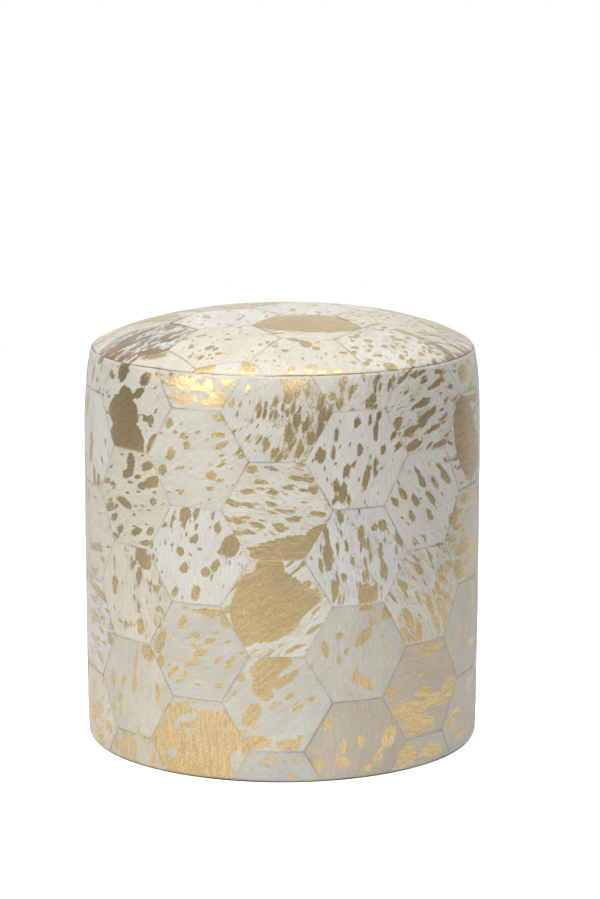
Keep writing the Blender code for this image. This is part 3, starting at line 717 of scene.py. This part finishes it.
def seam_distance(origin, flat):
    """Distance from flat points to the nearest seam between patches."""
    columns = (flat[:, 0] - origin[0]) / COLUMN_PITCH
    nearest = np.zeros(len(flat))
    for column in range(int(columns.min()) - 2, int(columns.max()) + 3):
        rows = (flat[:, 1] - origin[1]) / HEX_HEIGHT
        for row in range(int(rows.min()) - 2, int(rows.max()) + 3):
            corners = hexagon(origin, column, row)[1]
            nearest = np.maximum(nearest, distance_to_edges(flat, corners))
    return nearest


class Relief:
    """How far the cover stands out on a regular grid of flat coordinates, read between points."""

    def __init__(self, low, cell, values):
        self.low = np.array(low)
        self.cell = np.array(cell)
        self.values = values

    def at(self, flat):
        place = (flat - self.low) / self.cell
        limit = np.array(self.values.shape) - 1.001
        place = np.clip(place, 0, limit)
        i, j = place.astype(int).T
        a, b = (place - np.stack([i, j], axis=1)).T
        v = self.values
        near = v[i, j] * (1 - a) * (1 - b) + v[i + 1, j] * a * (1 - b)
        return near + v[i, j + 1] * (1 - a) * b + v[i + 1, j + 1] * a * b


def fill_out(name, low, high, place, held):
    """Blows a grid of cloth up from inside with Blender's cloth simulation. held(flat) is how
    firmly each point is kept in place. Gives how far each point moved, as a Relief."""
    count = [max(4, int(round((h - l) / CELL))) + 1 for l, h in zip(low, high)]
    cell = [(h - l) / (n - 1) for l, h, n in zip(low, high, count)]
    axes = [l + c * np.arange(n) for l, c, n in zip(low, cell, count)]
    flat = np.stack(np.meshgrid(*axes, indexing="ij"), axis=2).reshape(-1, 2)
    start = place(flat, np.zeros(len(flat)))
    out = surface_normals(place, flat)
    faces = []
    for i in range(count[0] - 1):
        for j in range(count[1] - 1):
            a = i * count[1] + j
            faces.append((a, a + count[1], a + count[1] + 1, a + 1))
    cloth = add_object(name, start.tolist(), faces)
    group = cloth.vertex_groups.new(name="held")
    for index, weight in enumerate(held(flat)):
        group.add([index], float(weight), "REPLACE")
    modifier = cloth.modifiers.new("cloth", "CLOTH")
    settings = modifier.settings
    settings.quality = 5
    settings.mass = 0.4
    settings.tension_stiffness = 20
    settings.compression_stiffness = 20
    settings.shear_stiffness = 8
    settings.bending_stiffness = 1.5
    settings.vertex_group_mass = "held"
    settings.pin_stiffness = 1.0
    settings.use_pressure = True
    settings.uniform_pressure_force = FILL_PRESSURE
    settings.effector_weights.gravity = 0
    modifier.point_cache.frame_start = 1
    modifier.point_cache.frame_end = FILL_FRAMES
    scene = bpy.context.scene
    for number in range(1, FILL_FRAMES + 1):
        scene.frame_set(number)
    shape = cloth.evaluated_get(bpy.context.evaluated_depsgraph_get()).to_mesh()
    end = np.empty(len(flat) * 3, dtype=np.float32)
    shape.vertices.foreach_get("co", end)
    moved = ((end.reshape(-1, 3) - start) * out).sum(axis=1)
    print(name, "moved", moved.min() / MM, moved.mean() / MM, moved.max() / MM, "mm")
    bpy.data.objects.remove(cloth)
    scene.frame_set(1)
    moved = FILL_CAP * np.tanh(moved / FILL_CAP)
    return Relief(low, cell, moved.reshape(count))


def held_at_seams(origin, flat, firm, seed):
    """How firmly the cloth is held: wholly where firm says so, and unevenly at its seams."""
    draw = np.random.default_rng(seed)
    seams = np.exp(-((seam_distance(origin, flat) / (5 * MM)) ** 2))
    seams = 0.75 * seams * draw.uniform(0.5, 1.0, len(flat))
    return np.where(firm, 1.0, clip01(0.04 + seams))


def held_wall(flat):
    ends = (flat[:, 1] > SEAM_Z - CELL) | (flat[:, 1] < CELL)
    return held_at_seams(WALL_ORIGIN, flat, ends, 3)


def held_top(flat):
    return held_at_seams(TOP_ORIGIN, flat, np.hypot(flat[:, 0], flat[:, 1]) > RIM - CELL, 4)


# ---------------------------------------------------------------- materials


class Nodes:
    """Short names for the shader nodes used below."""

    def __init__(self, name):
        self.material = bpy.data.materials.new(name)
        self.material.use_nodes = True
        self.tree = self.material.node_tree
        self.shader = self.tree.nodes["Principled BSDF"]

    def put(self, socket, value):
        if isinstance(value, bpy.types.NodeSocket):
            self.tree.links.new(value, socket)
        elif value is not None:
            socket.default_value = value

    def attribute(self, name, output="Fac"):
        node = self.tree.nodes.new("ShaderNodeAttribute")
        node.attribute_name = name
        return node.outputs[output]

    def stretched(self, place, factors):
        return self.vector("MULTIPLY", place, factors)

    def object_place(self):
        return self.tree.nodes.new("ShaderNodeTexCoord").outputs["Object"]

    def math(self, operation, a, b=None):
        node = self.tree.nodes.new("ShaderNodeMath")
        node.operation = operation
        self.put(node.inputs[0], a)
        self.put(node.inputs[1], b)
        return node.outputs[0]

    def times(self, a, b):
        return self.math("MULTIPLY", a, b)

    def plus(self, a, b):
        return self.math("ADD", a, b)

    def minus(self, a, b):
        return self.math("SUBTRACT", a, b)

    def vector(self, operation, a, b):
        node = self.tree.nodes.new("ShaderNodeVectorMath")
        node.operation = operation
        self.put(node.inputs[0], a)
        self.put(node.inputs[1], b)
        return node.outputs[0]

    def noise(self, place, scale, detail=3, rough=0.55, output="Fac"):
        node = self.tree.nodes.new("ShaderNodeTexNoise")
        self.put(node.inputs["Vector"], place)
        node.inputs["Scale"].default_value = scale
        node.inputs["Detail"].default_value = detail
        node.inputs["Roughness"].default_value = rough
        return node.outputs[output]

    def voronoi(self, place, scale):
        node = self.tree.nodes.new("ShaderNodeTexVoronoi")
        self.put(node.inputs["Vector"], place)
        node.inputs["Scale"].default_value = scale
        return node

    def ramp(self, value, low, high, to_low=0.0, to_high=1.0, smooth=True):
        node = self.tree.nodes.new("ShaderNodeMapRange")
        node.interpolation_type = "SMOOTHSTEP" if smooth else "LINEAR"
        for socket, setting in zip(node.inputs, (value, low, high, to_low, to_high)):
            self.put(socket, setting)
        return node.outputs["Result"]

    def mix(self, share, a, b, blend="MIX"):
        node = self.tree.nodes.new("ShaderNodeMix")
        node.data_type = "RGBA"
        node.blend_type = blend
        self.put(node.inputs[0], share)
        for socket, value in ((node.inputs[6], a), (node.inputs[7], b)):
            self.put(socket, (*value, 1) if isinstance(value, tuple) and len(value) == 3 else value)
        return node.outputs[2]

    def bump(self, height, distance, strength=1.0):
        node = self.tree.nodes.new("ShaderNodeBump")
        node.inputs["Strength"].default_value = strength
        node.inputs["Distance"].default_value = distance
        self.put(node.inputs["Height"], height)
        return node.outputs["Normal"]

    def finish(self, colour, roughness, normal=None, metallic=None):
        self.put(self.shader.inputs["Base Color"], colour)
        self.put(self.shader.inputs["Roughness"], roughness)
        self.put(self.shader.inputs["Normal"], normal)
        self.put(self.shader.inputs["Metallic"], metallic)
        return self.material


def hide_material():
    """Hair-on hide with gold foil: hair runs along grain, foil fills marks and flecks."""
    n = Nodes("foiled_hair_on_hide")
    grain = n.attribute("grain", "Vector")
    coat = n.attribute("coat", "Color")
    fleck = n.attribute("fleck")
    rim = n.attribute("rim")
    strands = n.noise(n.stretched(grain, (0.16, 1.9, 1.0)), 1.0, 4, 0.65)
    locks = n.noise(n.stretched(grain, (0.05, 0.36, 1.0)), 1.0, 3, 0.6)
    tone = n.noise(n.stretched(grain, (0.02, 0.035, 1.0)), 1.0, 2, 0.5)
    pebbles = n.noise(n.stretched(grain, (0.8, 1.1, 1.0)), 1.0, 3, 0.6)

    mask = foil_mask(n, grain, fleck, strands, locks)
    hair = hair_colour(n, coat, rim, strands, locks, tone, pebbles, grain)
    sheen = n.plus(n.times(pebbles, 0.42), n.times(strands, 0.38))
    sheen = n.plus(sheen, n.times(locks, 0.20))
    gold = n.mix(n.ramp(sheen, 0.36, 0.64), (0.46, 0.335, 0.170), (0.82, 0.630, 0.340))
    brown = n.mix(n.ramp(sheen, 0.40, 0.60), (0.120, 0.074, 0.028), (0.250, 0.165, 0.076))
    dull = n.attribute("dull")
    gold = n.mix(dull, gold, brown)
    colour = n.mix(mask, hair, gold)
    hair_rough = n.ramp(strands, 0.3, 0.7, 0.60, 0.48, smooth=False)
    gold_rough = n.ramp(sheen, 0.35, 0.65, 0.46, 0.24, smooth=False)
    bare = n.minus(1.0, mask)
    rough = n.plus(n.times(gold_rough, mask), n.times(hair_rough, bare))

    relief = n.plus(n.times(strands, 0.60), n.times(locks, 0.34))
    relief = n.plus(relief, n.times(pebbles, 0.25))
    relief = n.plus(relief, n.times(mask, 0.10))
    metal = n.times(n.times(mask, 0.95), n.minus(1.0, dull))
    material = n.finish(colour, rough, n.bump(relief, 0.0005, 0.9), metal)
    n.shader.inputs["Specular IOR Level"].default_value = 0.35
    n.shader.inputs["Sheen Weight"].default_value = 0.10
    n.shader.inputs["Sheen Roughness"].default_value = 0.4
    return material


def foil_mask(n, grain, fleck, strands, locks):
    """1 where foil covers the hair: the patch's own marks, flecks of two sizes and fine streaks."""
    spots = n.attribute("spots", "Vector")
    foil = n.attribute("foil")
    wander = n.noise(spots, 1.3, 2, 0.6, output="Color")
    wander = n.vector("MULTIPLY", n.vector("SUBTRACT", wander, (0.5, 0.5, 0.5)), (1.0, 1.0, 0))
    warped = n.vector("ADD", spots, wander)
    large = fleck_layer(n, warped, 0.62, fleck, 0.62, 4.6)
    shrunk = n.stretched(warped, (2.1, 1.7, 1.0))
    small = fleck_layer(n, shrunk, 1.0, n.times(fleck, 0.9), 0.78, 2.2)
    fine = n.noise(n.stretched(grain, (0.16, 1.1, 1.0)), 1.0, 3, 0.7)
    gate = n.noise(n.stretched(grain, (0.05, 0.09, 1.0)), 1.0, 2, 0.5)
    reach = n.plus(n.times(fleck, 0.36), n.times(gate, 0.34))
    streaks = n.times(n.minus(n.plus(fine, reach), 0.91), 5.0)

    lumps = n.noise(n.stretched(grain, (0.16, 0.30, 1.0)), 1.0, 4, 0.65)
    ragged = n.times(n.minus(lumps, 0.5), 6.0)
    combed = n.times(n.minus(locks, 0.5), 4.0)
    marks = n.plus(foil, n.plus(ragged, combed))
    flecks = n.math("MAXIMUM", large, n.math("MAXIMUM", small, streaks))
    hairs = n.times(n.minus(strands, 0.5), 2.6)
    inside = n.plus(n.math("MAXIMUM", marks, flecks), hairs)
    mask = n.ramp(inside, -0.2, 0.35)
    specks = n.noise(n.stretched(grain, (0.55, 1.3, 1.0)), 1.0, 3, 0.7)
    worn = n.times(n.ramp(specks, 0.56, 0.70), 0.42)
    return n.times(mask, n.minus(1.0, worn))


def fleck_layer(n, place, scale, amount, few, depth):
    """Foil flecks, one in each Voronoi cell, of random size; few is how much amount leaves none."""
    cells = n.voronoi(place, scale)
    pick = n.plus(amount, n.times(cells.outputs["Color"], 1.0))
    size = n.times(n.minus(pick, few), 0.9)
    return n.times(n.minus(size, cells.outputs["Distance"]), depth)


def hair_colour(n, coat, rim, strands, locks, tone, pebbles, grain):
    """The coat's colour with its strands, slow changes of tone, a few dark specks and painted shade
    along the seam.
    """
    shade = n.ramp(strands, 0.3, 0.7, 0.85, 1.08, smooth=False)
    shade = n.times(shade, n.ramp(locks, 0.3, 0.7, 0.95, 1.04, smooth=False))
    shade = n.times(shade, n.ramp(tone, 0.3, 0.7, 0.94, 1.05, smooth=False))
    shade = n.times(shade, n.ramp(pebbles, 0.3, 0.7, 0.94, 1.03, smooth=False))
    # painted shade: the coat darkens within 0.8 mm of each seam, standing in for shade in the seam's
    # groove
    shade = n.times(shade, n.ramp(rim, 0.0, 0.8, 0.95, 1.0))
    hair = n.mix(1.0, coat, shade, "MULTIPLY")
    pores = n.voronoi(n.stretched(grain, (0.22, 0.34, 1.0)), 1.0).outputs["Distance"]
    return n.mix(n.ramp(pores, 0.10, 0.06, 0.0, 0.55), hair, (0.30, 0.23, 0.15))


def thread_material(name, light, dark):
    """Thread that is light along most seams and dark along some."""
    n = Nodes(name)
    place = n.object_place()
    strand = n.noise(place, 900, 2, 0.6)
    which = n.noise(place, 14, 2, 0.5)
    pale = n.mix(n.ramp(strand, 0.35, 0.65), tuple(0.75 * c for c in light), light)
    colour = n.mix(n.ramp(which, 0.55, 0.62), pale, dark)
    return n.finish(colour, 0.75, n.bump(strand, 0.0001))


def cloth_material(name, dark, light, thread):
    """Plain-woven cloth, thread metres from one thread to the next."""
    n = Nodes(name)
    place = n.object_place()
    step = 1 / thread
    split = n.tree.nodes.new("ShaderNodeSeparateXYZ")
    n.put(split.inputs[0], n.stretched(place, (step, step, step)))
    across = n.math("SINE", n.times(split.outputs["X"], math.pi))
    along = n.plus(split.outputs["Y"], split.outputs["Z"])
    along = n.math("SINE", n.times(along, math.pi))
    weave = n.plus(n.times(n.times(across, along), 0.5), 0.5)
    slub = n.noise(place, 60, 3, 0.6)
    share = n.plus(n.times(weave, 0.6), n.times(slub, 0.4))
    colour = n.mix(n.ramp(share, 0.25, 0.75), dark, light)
    return n.finish(colour, 0.9, n.bump(weave, thread * 0.3))


def fluff_material(name, dark, light, size):
    """Foam cells or loose fibre."""
    n = Nodes(name)
    place = n.object_place()
    cells = n.voronoi(place, 1 / size).outputs["Distance"]
    cloud = n.noise(place, 1 / (size * 6), 3, 0.6)
    share = n.plus(n.times(cells, 0.7), n.times(cloud, 0.5))
    return n.finish(n.mix(n.ramp(share, 0.2, 0.8), dark, light), 1.0, n.bump(cells, size * 0.4))


def zip_metal_material():
    n = Nodes("aged_brass")
    place = n.object_place()
    wear = n.noise(place, 500, 4, 0.6)
    brushed = n.noise(n.stretched(place, (200, 3000, 3000)), 1.0, 2, 0.5)
    colour = n.mix(n.ramp(wear, 0.35, 0.65), (0.42, 0.29, 0.11), (0.68, 0.50, 0.22))
    rough = n.ramp(wear, 0.3, 0.7, 0.42, 0.24)
    return n.finish(colour, rough, n.bump(brushed, 0.00003), 1.0)


def plastic_material():
    n = Nodes("zip_nylon")
    place = n.object_place()
    grain = n.noise(place, 1500, 3, 0.6)
    colour = n.mix(n.ramp(grain, 0.3, 0.7), (0.016, 0.016, 0.018), (0.035, 0.035, 0.038))
    return n.finish(colour, n.ramp(grain, 0.3, 0.7, 0.34, 0.5), n.bump(grain, 0.00004))


def floor_material():
    """A white sweep that glows as painted light, which also lights the pouf a little, and goes dark
    close under the pouf as a painted contact shadow.
    """
    n = Nodes("white_floor")
    place = n.object_place()
    away = n.tree.nodes.new("ShaderNodeVectorMath")
    away.operation = "LENGTH"
    n.put(away.inputs[0], place)
    n.finish(n.mix(n.noise(place, 3, 3, 0.5), (0.80, 0.80, 0.80), (0.84, 0.84, 0.84)), 0.75)
    n.shader.inputs["Specular IOR Level"].default_value = 0.1
    n.shader.inputs["Emission Color"].default_value = (1, 1, 1, 1)
    # painted light: the floor glows, strongly to the camera and weakly onto the pouf
    seen = n.tree.nodes.new("ShaderNodeLightPath").outputs["Is Camera Ray"]
    strength = n.plus(n.times(seen, 0.94), 0.13)
    # painted contact shadow: no glow close under the pouf
    near = n.ramp(away.outputs["Value"], 0.1975, 0.2015)
    n.put(n.shader.inputs["Emission Strength"], n.times(near, strength))
    return n.material


# ---------------------------------------------------------------- threads


class Threads:
    """Collects short lengths of thread as three-sided tubes."""

    def __init__(self):
        self.points = []
        self.faces = []

    def add(self, path, normals, radius):
        """path is a polyline of 3-D points, normals the surface's normal at each."""
        path, normals = np.asarray(path), np.asarray(normals)
        forward = np.gradient(path, axis=0)
        forward /= np.linalg.norm(forward, axis=1)[:, None]
        side = np.cross(forward, normals)
        side /= np.maximum(np.linalg.norm(side, axis=1), 1e-9)[:, None]
        start = len(self.points)
        for point, up, across in zip(path, normals, side):
            self.points.append(point + up * radius)
            self.points.append(point + across * radius - up * radius * 0.6)
            self.points.append(point - across * radius - up * radius * 0.6)
        for i in range(len(path) - 1):
            for j in range(3):
                a, b = start + i * 3 + j, start + i * 3 + (j + 1) % 3
                self.faces.append((a, b, b + 3, a + 3))
        last = start + (len(path) - 1) * 3
        self.faces += [(start, start + 2, start + 1), (last, last + 1, last + 2)]

    def build(self, name):
        return add_object(name, [tuple(p) for p in self.points], self.faces)


def surface_normals(place, flat):
    low = place(flat, np.zeros(len(flat)))
    high = place(flat, np.full(len(flat), MM))
    out = high - low
    return out / np.linalg.norm(out, axis=1)[:, None]


def zigzag_seam(threads, place, start, end, inside, relief):
    """A zigzag stitch along one seam, in flat coordinates, where inside(x, y) allows it."""
    start, end = np.array(start), np.array(end)
    length = np.linalg.norm(end - start)
    along = (end - start) / length
    across = np.array([-along[1], along[0]])
    count = int(length / STITCH_PITCH)
    flat = []
    for i in range(count + 1):
        side = STITCH_HALF * (1 if i % 2 else -1) * rng.uniform(0.85, 1.1)
        flat.append(start + along * (i * STITCH_PITCH + rng.uniform(-0.15, 0.15) * MM) + across * side)
    run = []
    for point in [*flat, None]:
        if point is not None and inside(*point):
            run.append(point)
            continue
        if len(run) > 2:
            route = np.array(run)
            height = relief.at(route) - 0.12 * MM
            threads.add(place(route, height), surface_normals(place, route), THREAD_RADIUS)
        run = []


def seams_of(outlines):
    """Each seam between two patches once, as its two end points."""
    seen = {}
    for corners in outlines:
        for a, b in zip(corners, np.roll(corners, -1, axis=0)):
            middle = (a + b) / 2
            seen[(round(middle[0] / MM), round(middle[1] / MM))] = (a, b)
    return list(seen.values())


# ---------------------------------------------------------------- building the cover


def build_cover(hide):
    low, high = (WALL_ORIGIN[0] - BACK, 0.0), (WALL_ORIGIN[0] + BACK, SEAM_Z)
    wall_relief = fill_out("wall_cloth", low, high, wall_points, held_wall)
    top_relief = fill_out("top_cloth", (-RIM, -RIM), (RIM, RIM), top_points, held_top)
    wall, top, edge = Threads(), Threads(), Threads()
    wall_strips = [[column] for column in WALL_COLUMNS]
    top_strips = [TOP_COLUMNS[:2], *([column] for column in TOP_COLUMNS[2:])]

    outlines = []
    for number, columns in enumerate(wall_strips, 1):
        build_strip("wall", f"{number:02d}", columns, WALL_ROWS, wall_patch, wall_relief, outlines, hide)
    for a, b in seams_of(outlines):
        zigzag_seam(wall, wall_points, a, b, inside_wall, wall_relief)
    outlines = []
    for number, columns in enumerate(top_strips, 1):
        build_strip("top", f"{number}", columns, TOP_ROWS, top_patch, top_relief, outlines, hide)
    for a, b in seams_of(outlines):
        zigzag_seam(top, top_points, a, b, inside_top, top_relief)
    top_seam_stitches(edge)

    light = thread_material("seam_thread", (0.52, 0.48, 0.40), (0.17, 0.15, 0.13))
    brown = thread_material("top_seam_thread", (0.27, 0.165, 0.105), (0.15, 0.095, 0.065))
    dress(wall.build("wall_stitches"), light)
    dress(top.build("top_stitches"), light)
    dress(edge.build("top_seam_stitches"), brown)


def build_strip(part, number, columns, rows, add, relief, outlines, hide):
    """One strip of joined patches in the place of its CAD strip; adds its patches' outlines."""
    cover = Cover()
    for column in columns:
        for row in rows:
            outline = add(cover, column, row, relief)
            if outline is not None:
                outlines.append(outline)
    piece = cover.build(f"hide_{part}_{number}")
    strip = {"wall": "side_strip", "top": "top_strip"}[part]
    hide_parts(f"{strip}_{number}")
    dress(piece, hide)


def top_seam_stitches(threads):
    """Slanting stitches down in the seam round the top."""
    count = int(2 * math.pi * RIM / (3.0 * MM))
    for i in range(count):
        turn = 2 * math.pi * i / count
        wave = 0.35 * MM * math.sin(7 * turn) + 0.25 * MM * math.sin(17 * turn + 1)
        path = []
        normals = []
        for share in (-0.55, -0.2, 0.2, 0.55):
            angle = turn + share * 2 * math.pi / count
            out = np.array([math.sin(angle), -math.cos(angle), 0.0])
            radius = RIM - pinch(out[0]) - 0.9 * MM + 0.25 * MM * math.cos(share * math.pi)
            path.append(out * radius + np.array([0, 0, SEAM_Z + wave + share * 0.7 * MM]))
            normals.append(out)
        threads.add(path, normals, TOP_THREAD_RADIUS)


def build_binding():
    """The base cloth's rolled edge, near-black cloth at the floor that stands in for the contact shadow:
    painted shade as a thin dark line at the floor.
    """
    threads = Threads()
    around = np.linspace(-BACK, BACK, 361)
    flat = np.stack([around, np.full(361, BINDING_UP)], axis=1)
    path = wall_points(flat, np.full(361, 0.6 * BINDING_RADIUS))
    path[:, 2] = BINDING_RADIUS
    threads.add(path, surface_normals(wall_points, flat), BINDING_RADIUS)
    # painted shade: very dark cloth where the pouf meets the floor
    cloth = cloth_material("binding_cloth_painted_shadow", (0.012, 0.011, 0.010), (0.035, 0.032, 0.030), 0.0011)
    dress(threads.build("base_binding_painted_shadow"), cloth)


def eased(share):
    t = clip01(share)
    return t * t * (3 - 2 * t)


def base_lift(x, y):
    """How high the base cloth is held beside the zip."""
    across = (RAMP_HALF - np.abs(y)) / (RAMP_HALF - LEDGE_HALF)
    along = (RAMP_END_X - np.abs(x)) / (RAMP_END_X - RAMP_START_X)
    return ZIP_LEDGE * eased(across) * eased(along)


def base_points(x, share, sign):
    """Places on one half of the base, share from 0 at the zip to 1 at the round seam."""
    edge = np.sqrt(np.maximum(BASE_RADIUS**2 - x * x, 0))
    near = 0.15 * MM + (BASE_EDGE_Y - 0.15 * MM) * eased((BASE_CLOSED_X - np.abs(x)) / BASE_CLOSING)
    y = sign * (near + (edge - near) * share)
    return np.stack([x, y, base_lift(x, y)], axis=-1)


def build_base_cloth():
    """Two halves of black cloth: a hem along the zip, faint pulls towards the round seam."""
    cloth = cloth_material("base_cloth", (0.012, 0.011, 0.010), (0.038, 0.035, 0.032), 0.0011)
    thread = thread_material("base_thread", (0.045, 0.042, 0.038), (0.03, 0.03, 0.03))
    reach = math.sqrt(BASE_RADIUS**2 - (0.008 + BASE_EDGE_Y) ** 2)
    columns, rows = 150, 36
    x = -reach * np.cos(np.pi * np.arange(columns + 1) / columns)
    share = (np.arange(rows + 1) / rows) ** 1.7
    for sign, side in ((-1, "front"), (1, "rear")):
        grid = base_points(np.repeat(x, rows + 1), np.tile(share, columns + 1), sign)
        around = np.arctan2(grid[:, 0], grid[:, 1])
        out = clip01((np.hypot(grid[:, 0], grid[:, 1]) - 0.12) / 0.06)
        pulls = 0.35 * MM * out * clip01(np.sin(41 * around) * np.sin(17 * around + 2))
        low = grid.copy()
        low[:, 2] += pulls + 0.25 * MM * clip01(slow_noise(grid, 0.05, 5))
        high = low.copy()
        hem = clip01(2 - (np.abs(grid[:, 1]) - BASE_EDGE_Y) / (3.5 * MM))
        high[:, 2] += 0.5 * BASE_THICK * (1 + hem)
        piece = sheet_between(f"base_cloth_{side}", low, high, columns, rows, sign)
        stitches = Threads()
        for i in range(int(2 * TOPSTITCH_HALF / TOPSTITCH_PITCH)):
            along = -TOPSTITCH_HALF + i * TOPSTITCH_PITCH + np.linspace(0, 0.72, 5) * TOPSTITCH_PITCH
            path = np.stack([along, np.full(5, sign * (BASE_EDGE_Y + 2.6 * MM)), np.zeros(5)], axis=1)
            dip = 0.12 * MM * np.sin(np.linspace(0, np.pi, 5))
            path[:, 2] = base_lift(path[:, 0], path[:, 1]) - 0.05 * MM - dip
            stitches.add(path, np.tile([0.0, 0.0, -1.0], (5, 1)), 0.2 * MM)
        stitch = stitches.build(f"base_topstitch_{side}")
        dress(piece, cloth)
        dress(stitch, thread)
        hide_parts(f"base_panel_{side}")


def sheet_between(name, low, high, columns, rows, sign):
    """A closed sheet from two grids of points."""
    count = len(low)
    faces = []
    for i in range(columns):
        for j in range(rows):
            a = i * (rows + 1) + j
            lower = (a, a + 1, a + rows + 2, a + rows + 1)
            lower = lower if sign > 0 else lower[::-1]
            faces.append(lower)
            faces.append(tuple(v + count for v in reversed(lower)))
    sides = {}
    for face in faces[::2]:
        for a, b in zip(face, face[1:] + face[:1]):
            sides[(a, b)] = True
    for a, b in sides:
        if (b, a) not in sides:
            faces.append((b, a, a + count, b + count))
    piece = add_object(name, np.concatenate([low, high]).tolist(), faces)
    piece.data.shade_smooth()
    piece.data.set_sharp_from_angle(angle=math.radians(50))
    return piece


def build_zip_coils():
    """Each half of the zip as a row of nylon loops that lock between one another."""
    nylon = plastic_material()
    for sign, side in ((-1, "front"), (1, "rear")):
        low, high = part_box(f"zip_coil_{side}")
        coil = Threads()
        count = int((high.x - low.x) / TOOTH_PITCH)
        middle_z = (low.z + high.z) / 2
        outer = max(abs(low.y), abs(high.y)) - 0.35 * MM
        for i in range(count):
            x = low.x + (i + (0.5 if sign > 0 else 0.0)) * TOOTH_PITCH + 0.3 * MM
            turn = np.linspace(0, 2 * np.pi, 11)
            y = sign * (outer / 2 + 0.1 * MM + (outer / 2 - 0.1 * MM) * np.cos(turn))
            z = middle_z + ((high.z - low.z) / 2 - 0.35 * MM) * np.sin(turn)
            path = np.stack([x + 0.25 * MM * np.cos(turn), y, z], axis=1)
            ways = np.stack([0 * turn, sign * np.cos(turn), np.sin(turn)], axis=1)
            coil.add(path, ways, 0.36 * MM)
        piece = coil.build(f"zip_teeth_{side}")
        piece.data.shade_smooth()
        dress(piece, nylon)
        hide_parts(f"zip_coil_{side}")


def inside_wall(u, w):
    middle = WALL_ORIGIN[0]
    return LOWEST + MM < w < SEAM_Z - 2.5 * MM and abs(u - middle) < BACK - MM


def inside_top(x, y):
    return math.hypot(x, y) < RIM - 2.5 * MM


def dress_frame():
    """Materials for the CAD nodes that stay, by how their names start."""
    cotton = cloth_material("cotton_lining", (0.60, 0.54, 0.42), (0.80, 0.74, 0.61), 0.0009)
    calico = cloth_material("calico", (0.66, 0.60, 0.47), (0.85, 0.79, 0.66), 0.0007)
    tape = cloth_material("zip_tape", (0.010, 0.010, 0.011), (0.030, 0.030, 0.033), 0.0006)
    wadding = fluff_material("fibre_wadding", (0.74, 0.74, 0.73), (0.90, 0.90, 0.89), 0.003)
    foam = fluff_material("foam", (0.70, 0.57, 0.28), (0.88, 0.77, 0.45), 0.0012)
    looks = {
        "lining": cotton,
        "calico": calico,
        "wadding": wadding,
        "foam": foam,
        "zip_tape": tape,
        "zip": zip_metal_material(),
    }
    for name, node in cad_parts.items():
        if node.hide_render:
            continue
        for start, material in looks.items():
            if name.startswith(start):
                node.data.materials.clear()
                node.data.materials.append(material)
                break


# ---------------------------------------------------------------- studio


# name, place, what it points at, size, watts
LIGHTS = (
    ("overhead", (0.1, -0.25, 2.3), (0, 0, 0.3), (2.0, 1.4), 37),
    ("key", (-1.3, -2.5, 2.1), (0, 0, 0.28), (1.2, 1.0), 20),
    ("front", (0.2, -2.9, 1.5), (0, 0, 0.32), (0.9, 0.7), 18),
    ("fill", (1.9, -2.2, 1.9), (0, 0, 0.30), (1.2, 1.0), 10),
    ("kicker", (-1.76, -1.64, 1.09), (0, 0, 0.38), (0.32, 0.22), 21),
)
WORLD_RAMP = {"From Min": 0.35, "From Max": 0.80, "To Min": 0.15, "To Max": 0.85}
FLOOR_FRONT, FLOOR_BACK, FLOOR_SIDE = -0.72, 2.5, 0.85


def area_light(name, place, target, size, power):
    data = bpy.data.lights.new(name, "AREA")
    data.shape = "RECTANGLE"
    data.size, data.size_y = size
    data.energy = power
    light = bpy.data.objects.new(name, data)
    bpy.context.scene.collection.objects.link(light)
    light.location = place
    light.rotation_euler = (Vector(target) - Vector(place)).to_track_quat("-Z", "Y").to_euler()


def build_world():
    """A grey surround, brighter behind the pouf, that the camera itself sees as white."""
    world = bpy.data.worlds.new("studio")
    bpy.context.scene.world = world
    world.use_nodes = True
    tree = world.node_tree
    place = tree.nodes.new("ShaderNodeTexCoord").outputs["Generated"]
    split = tree.nodes.new("ShaderNodeSeparateXYZ")
    tree.links.new(place, split.inputs[0])
    backward = tree.nodes.new("ShaderNodeMapRange")
    for name, value in WORLD_RAMP.items():
        backward.inputs[name].default_value = value
    tree.links.new(split.outputs["Y"], backward.inputs["Value"])
    seen = tree.nodes.new("ShaderNodeLightPath").outputs["Is Camera Ray"]
    brightest = tree.nodes.new("ShaderNodeMath")
    brightest.operation = "MAXIMUM"
    tree.links.new(backward.outputs[0], brightest.inputs[0])
    tree.links.new(seen, brightest.inputs[1])
    tree.links.new(brightest.outputs[0], tree.nodes["Background"].inputs["Strength"])
    tree.nodes["Background"].inputs["Color"].default_value = (1, 1, 1, 1)


def build_floor():
    corners = [
        (-FLOOR_SIDE, FLOOR_FRONT, 0),
        (FLOOR_SIDE, FLOOR_FRONT, 0),
        (FLOOR_SIDE, FLOOR_BACK, 0),
        (-FLOOR_SIDE, FLOOR_BACK, 0),
    ]
    floor = add_object("floor", corners, [(0, 1, 2, 3)])
    floor.location.z = -0.0003
    floor.data.materials.append(floor_material())


def build_camera():
    camera = bpy.data.cameras.new("camera")
    camera.lens = LENS
    camera.sensor_width = 36
    camera.shift_x = SHIFT_X
    camera.clip_end = 100
    eye = bpy.data.objects.new("camera", camera)
    bpy.context.scene.collection.objects.link(eye)
    eye.location = (0, -CAMERA_BACK, CAMERA_HEIGHT)
    eye.rotation_euler = (math.radians(90 - CAMERA_DOWN), 0, 0)
    bpy.context.scene.camera = eye


def studio():
    bpy.context.scene.view_settings.view_transform = "Standard"
    build_world()
    build_floor()
    for light in LIGHTS:
        area_light(*light)
    build_camera()


build_cover(hide_material())
build_binding()
build_base_cloth()
build_zip_coils()
dress_frame()
studio()
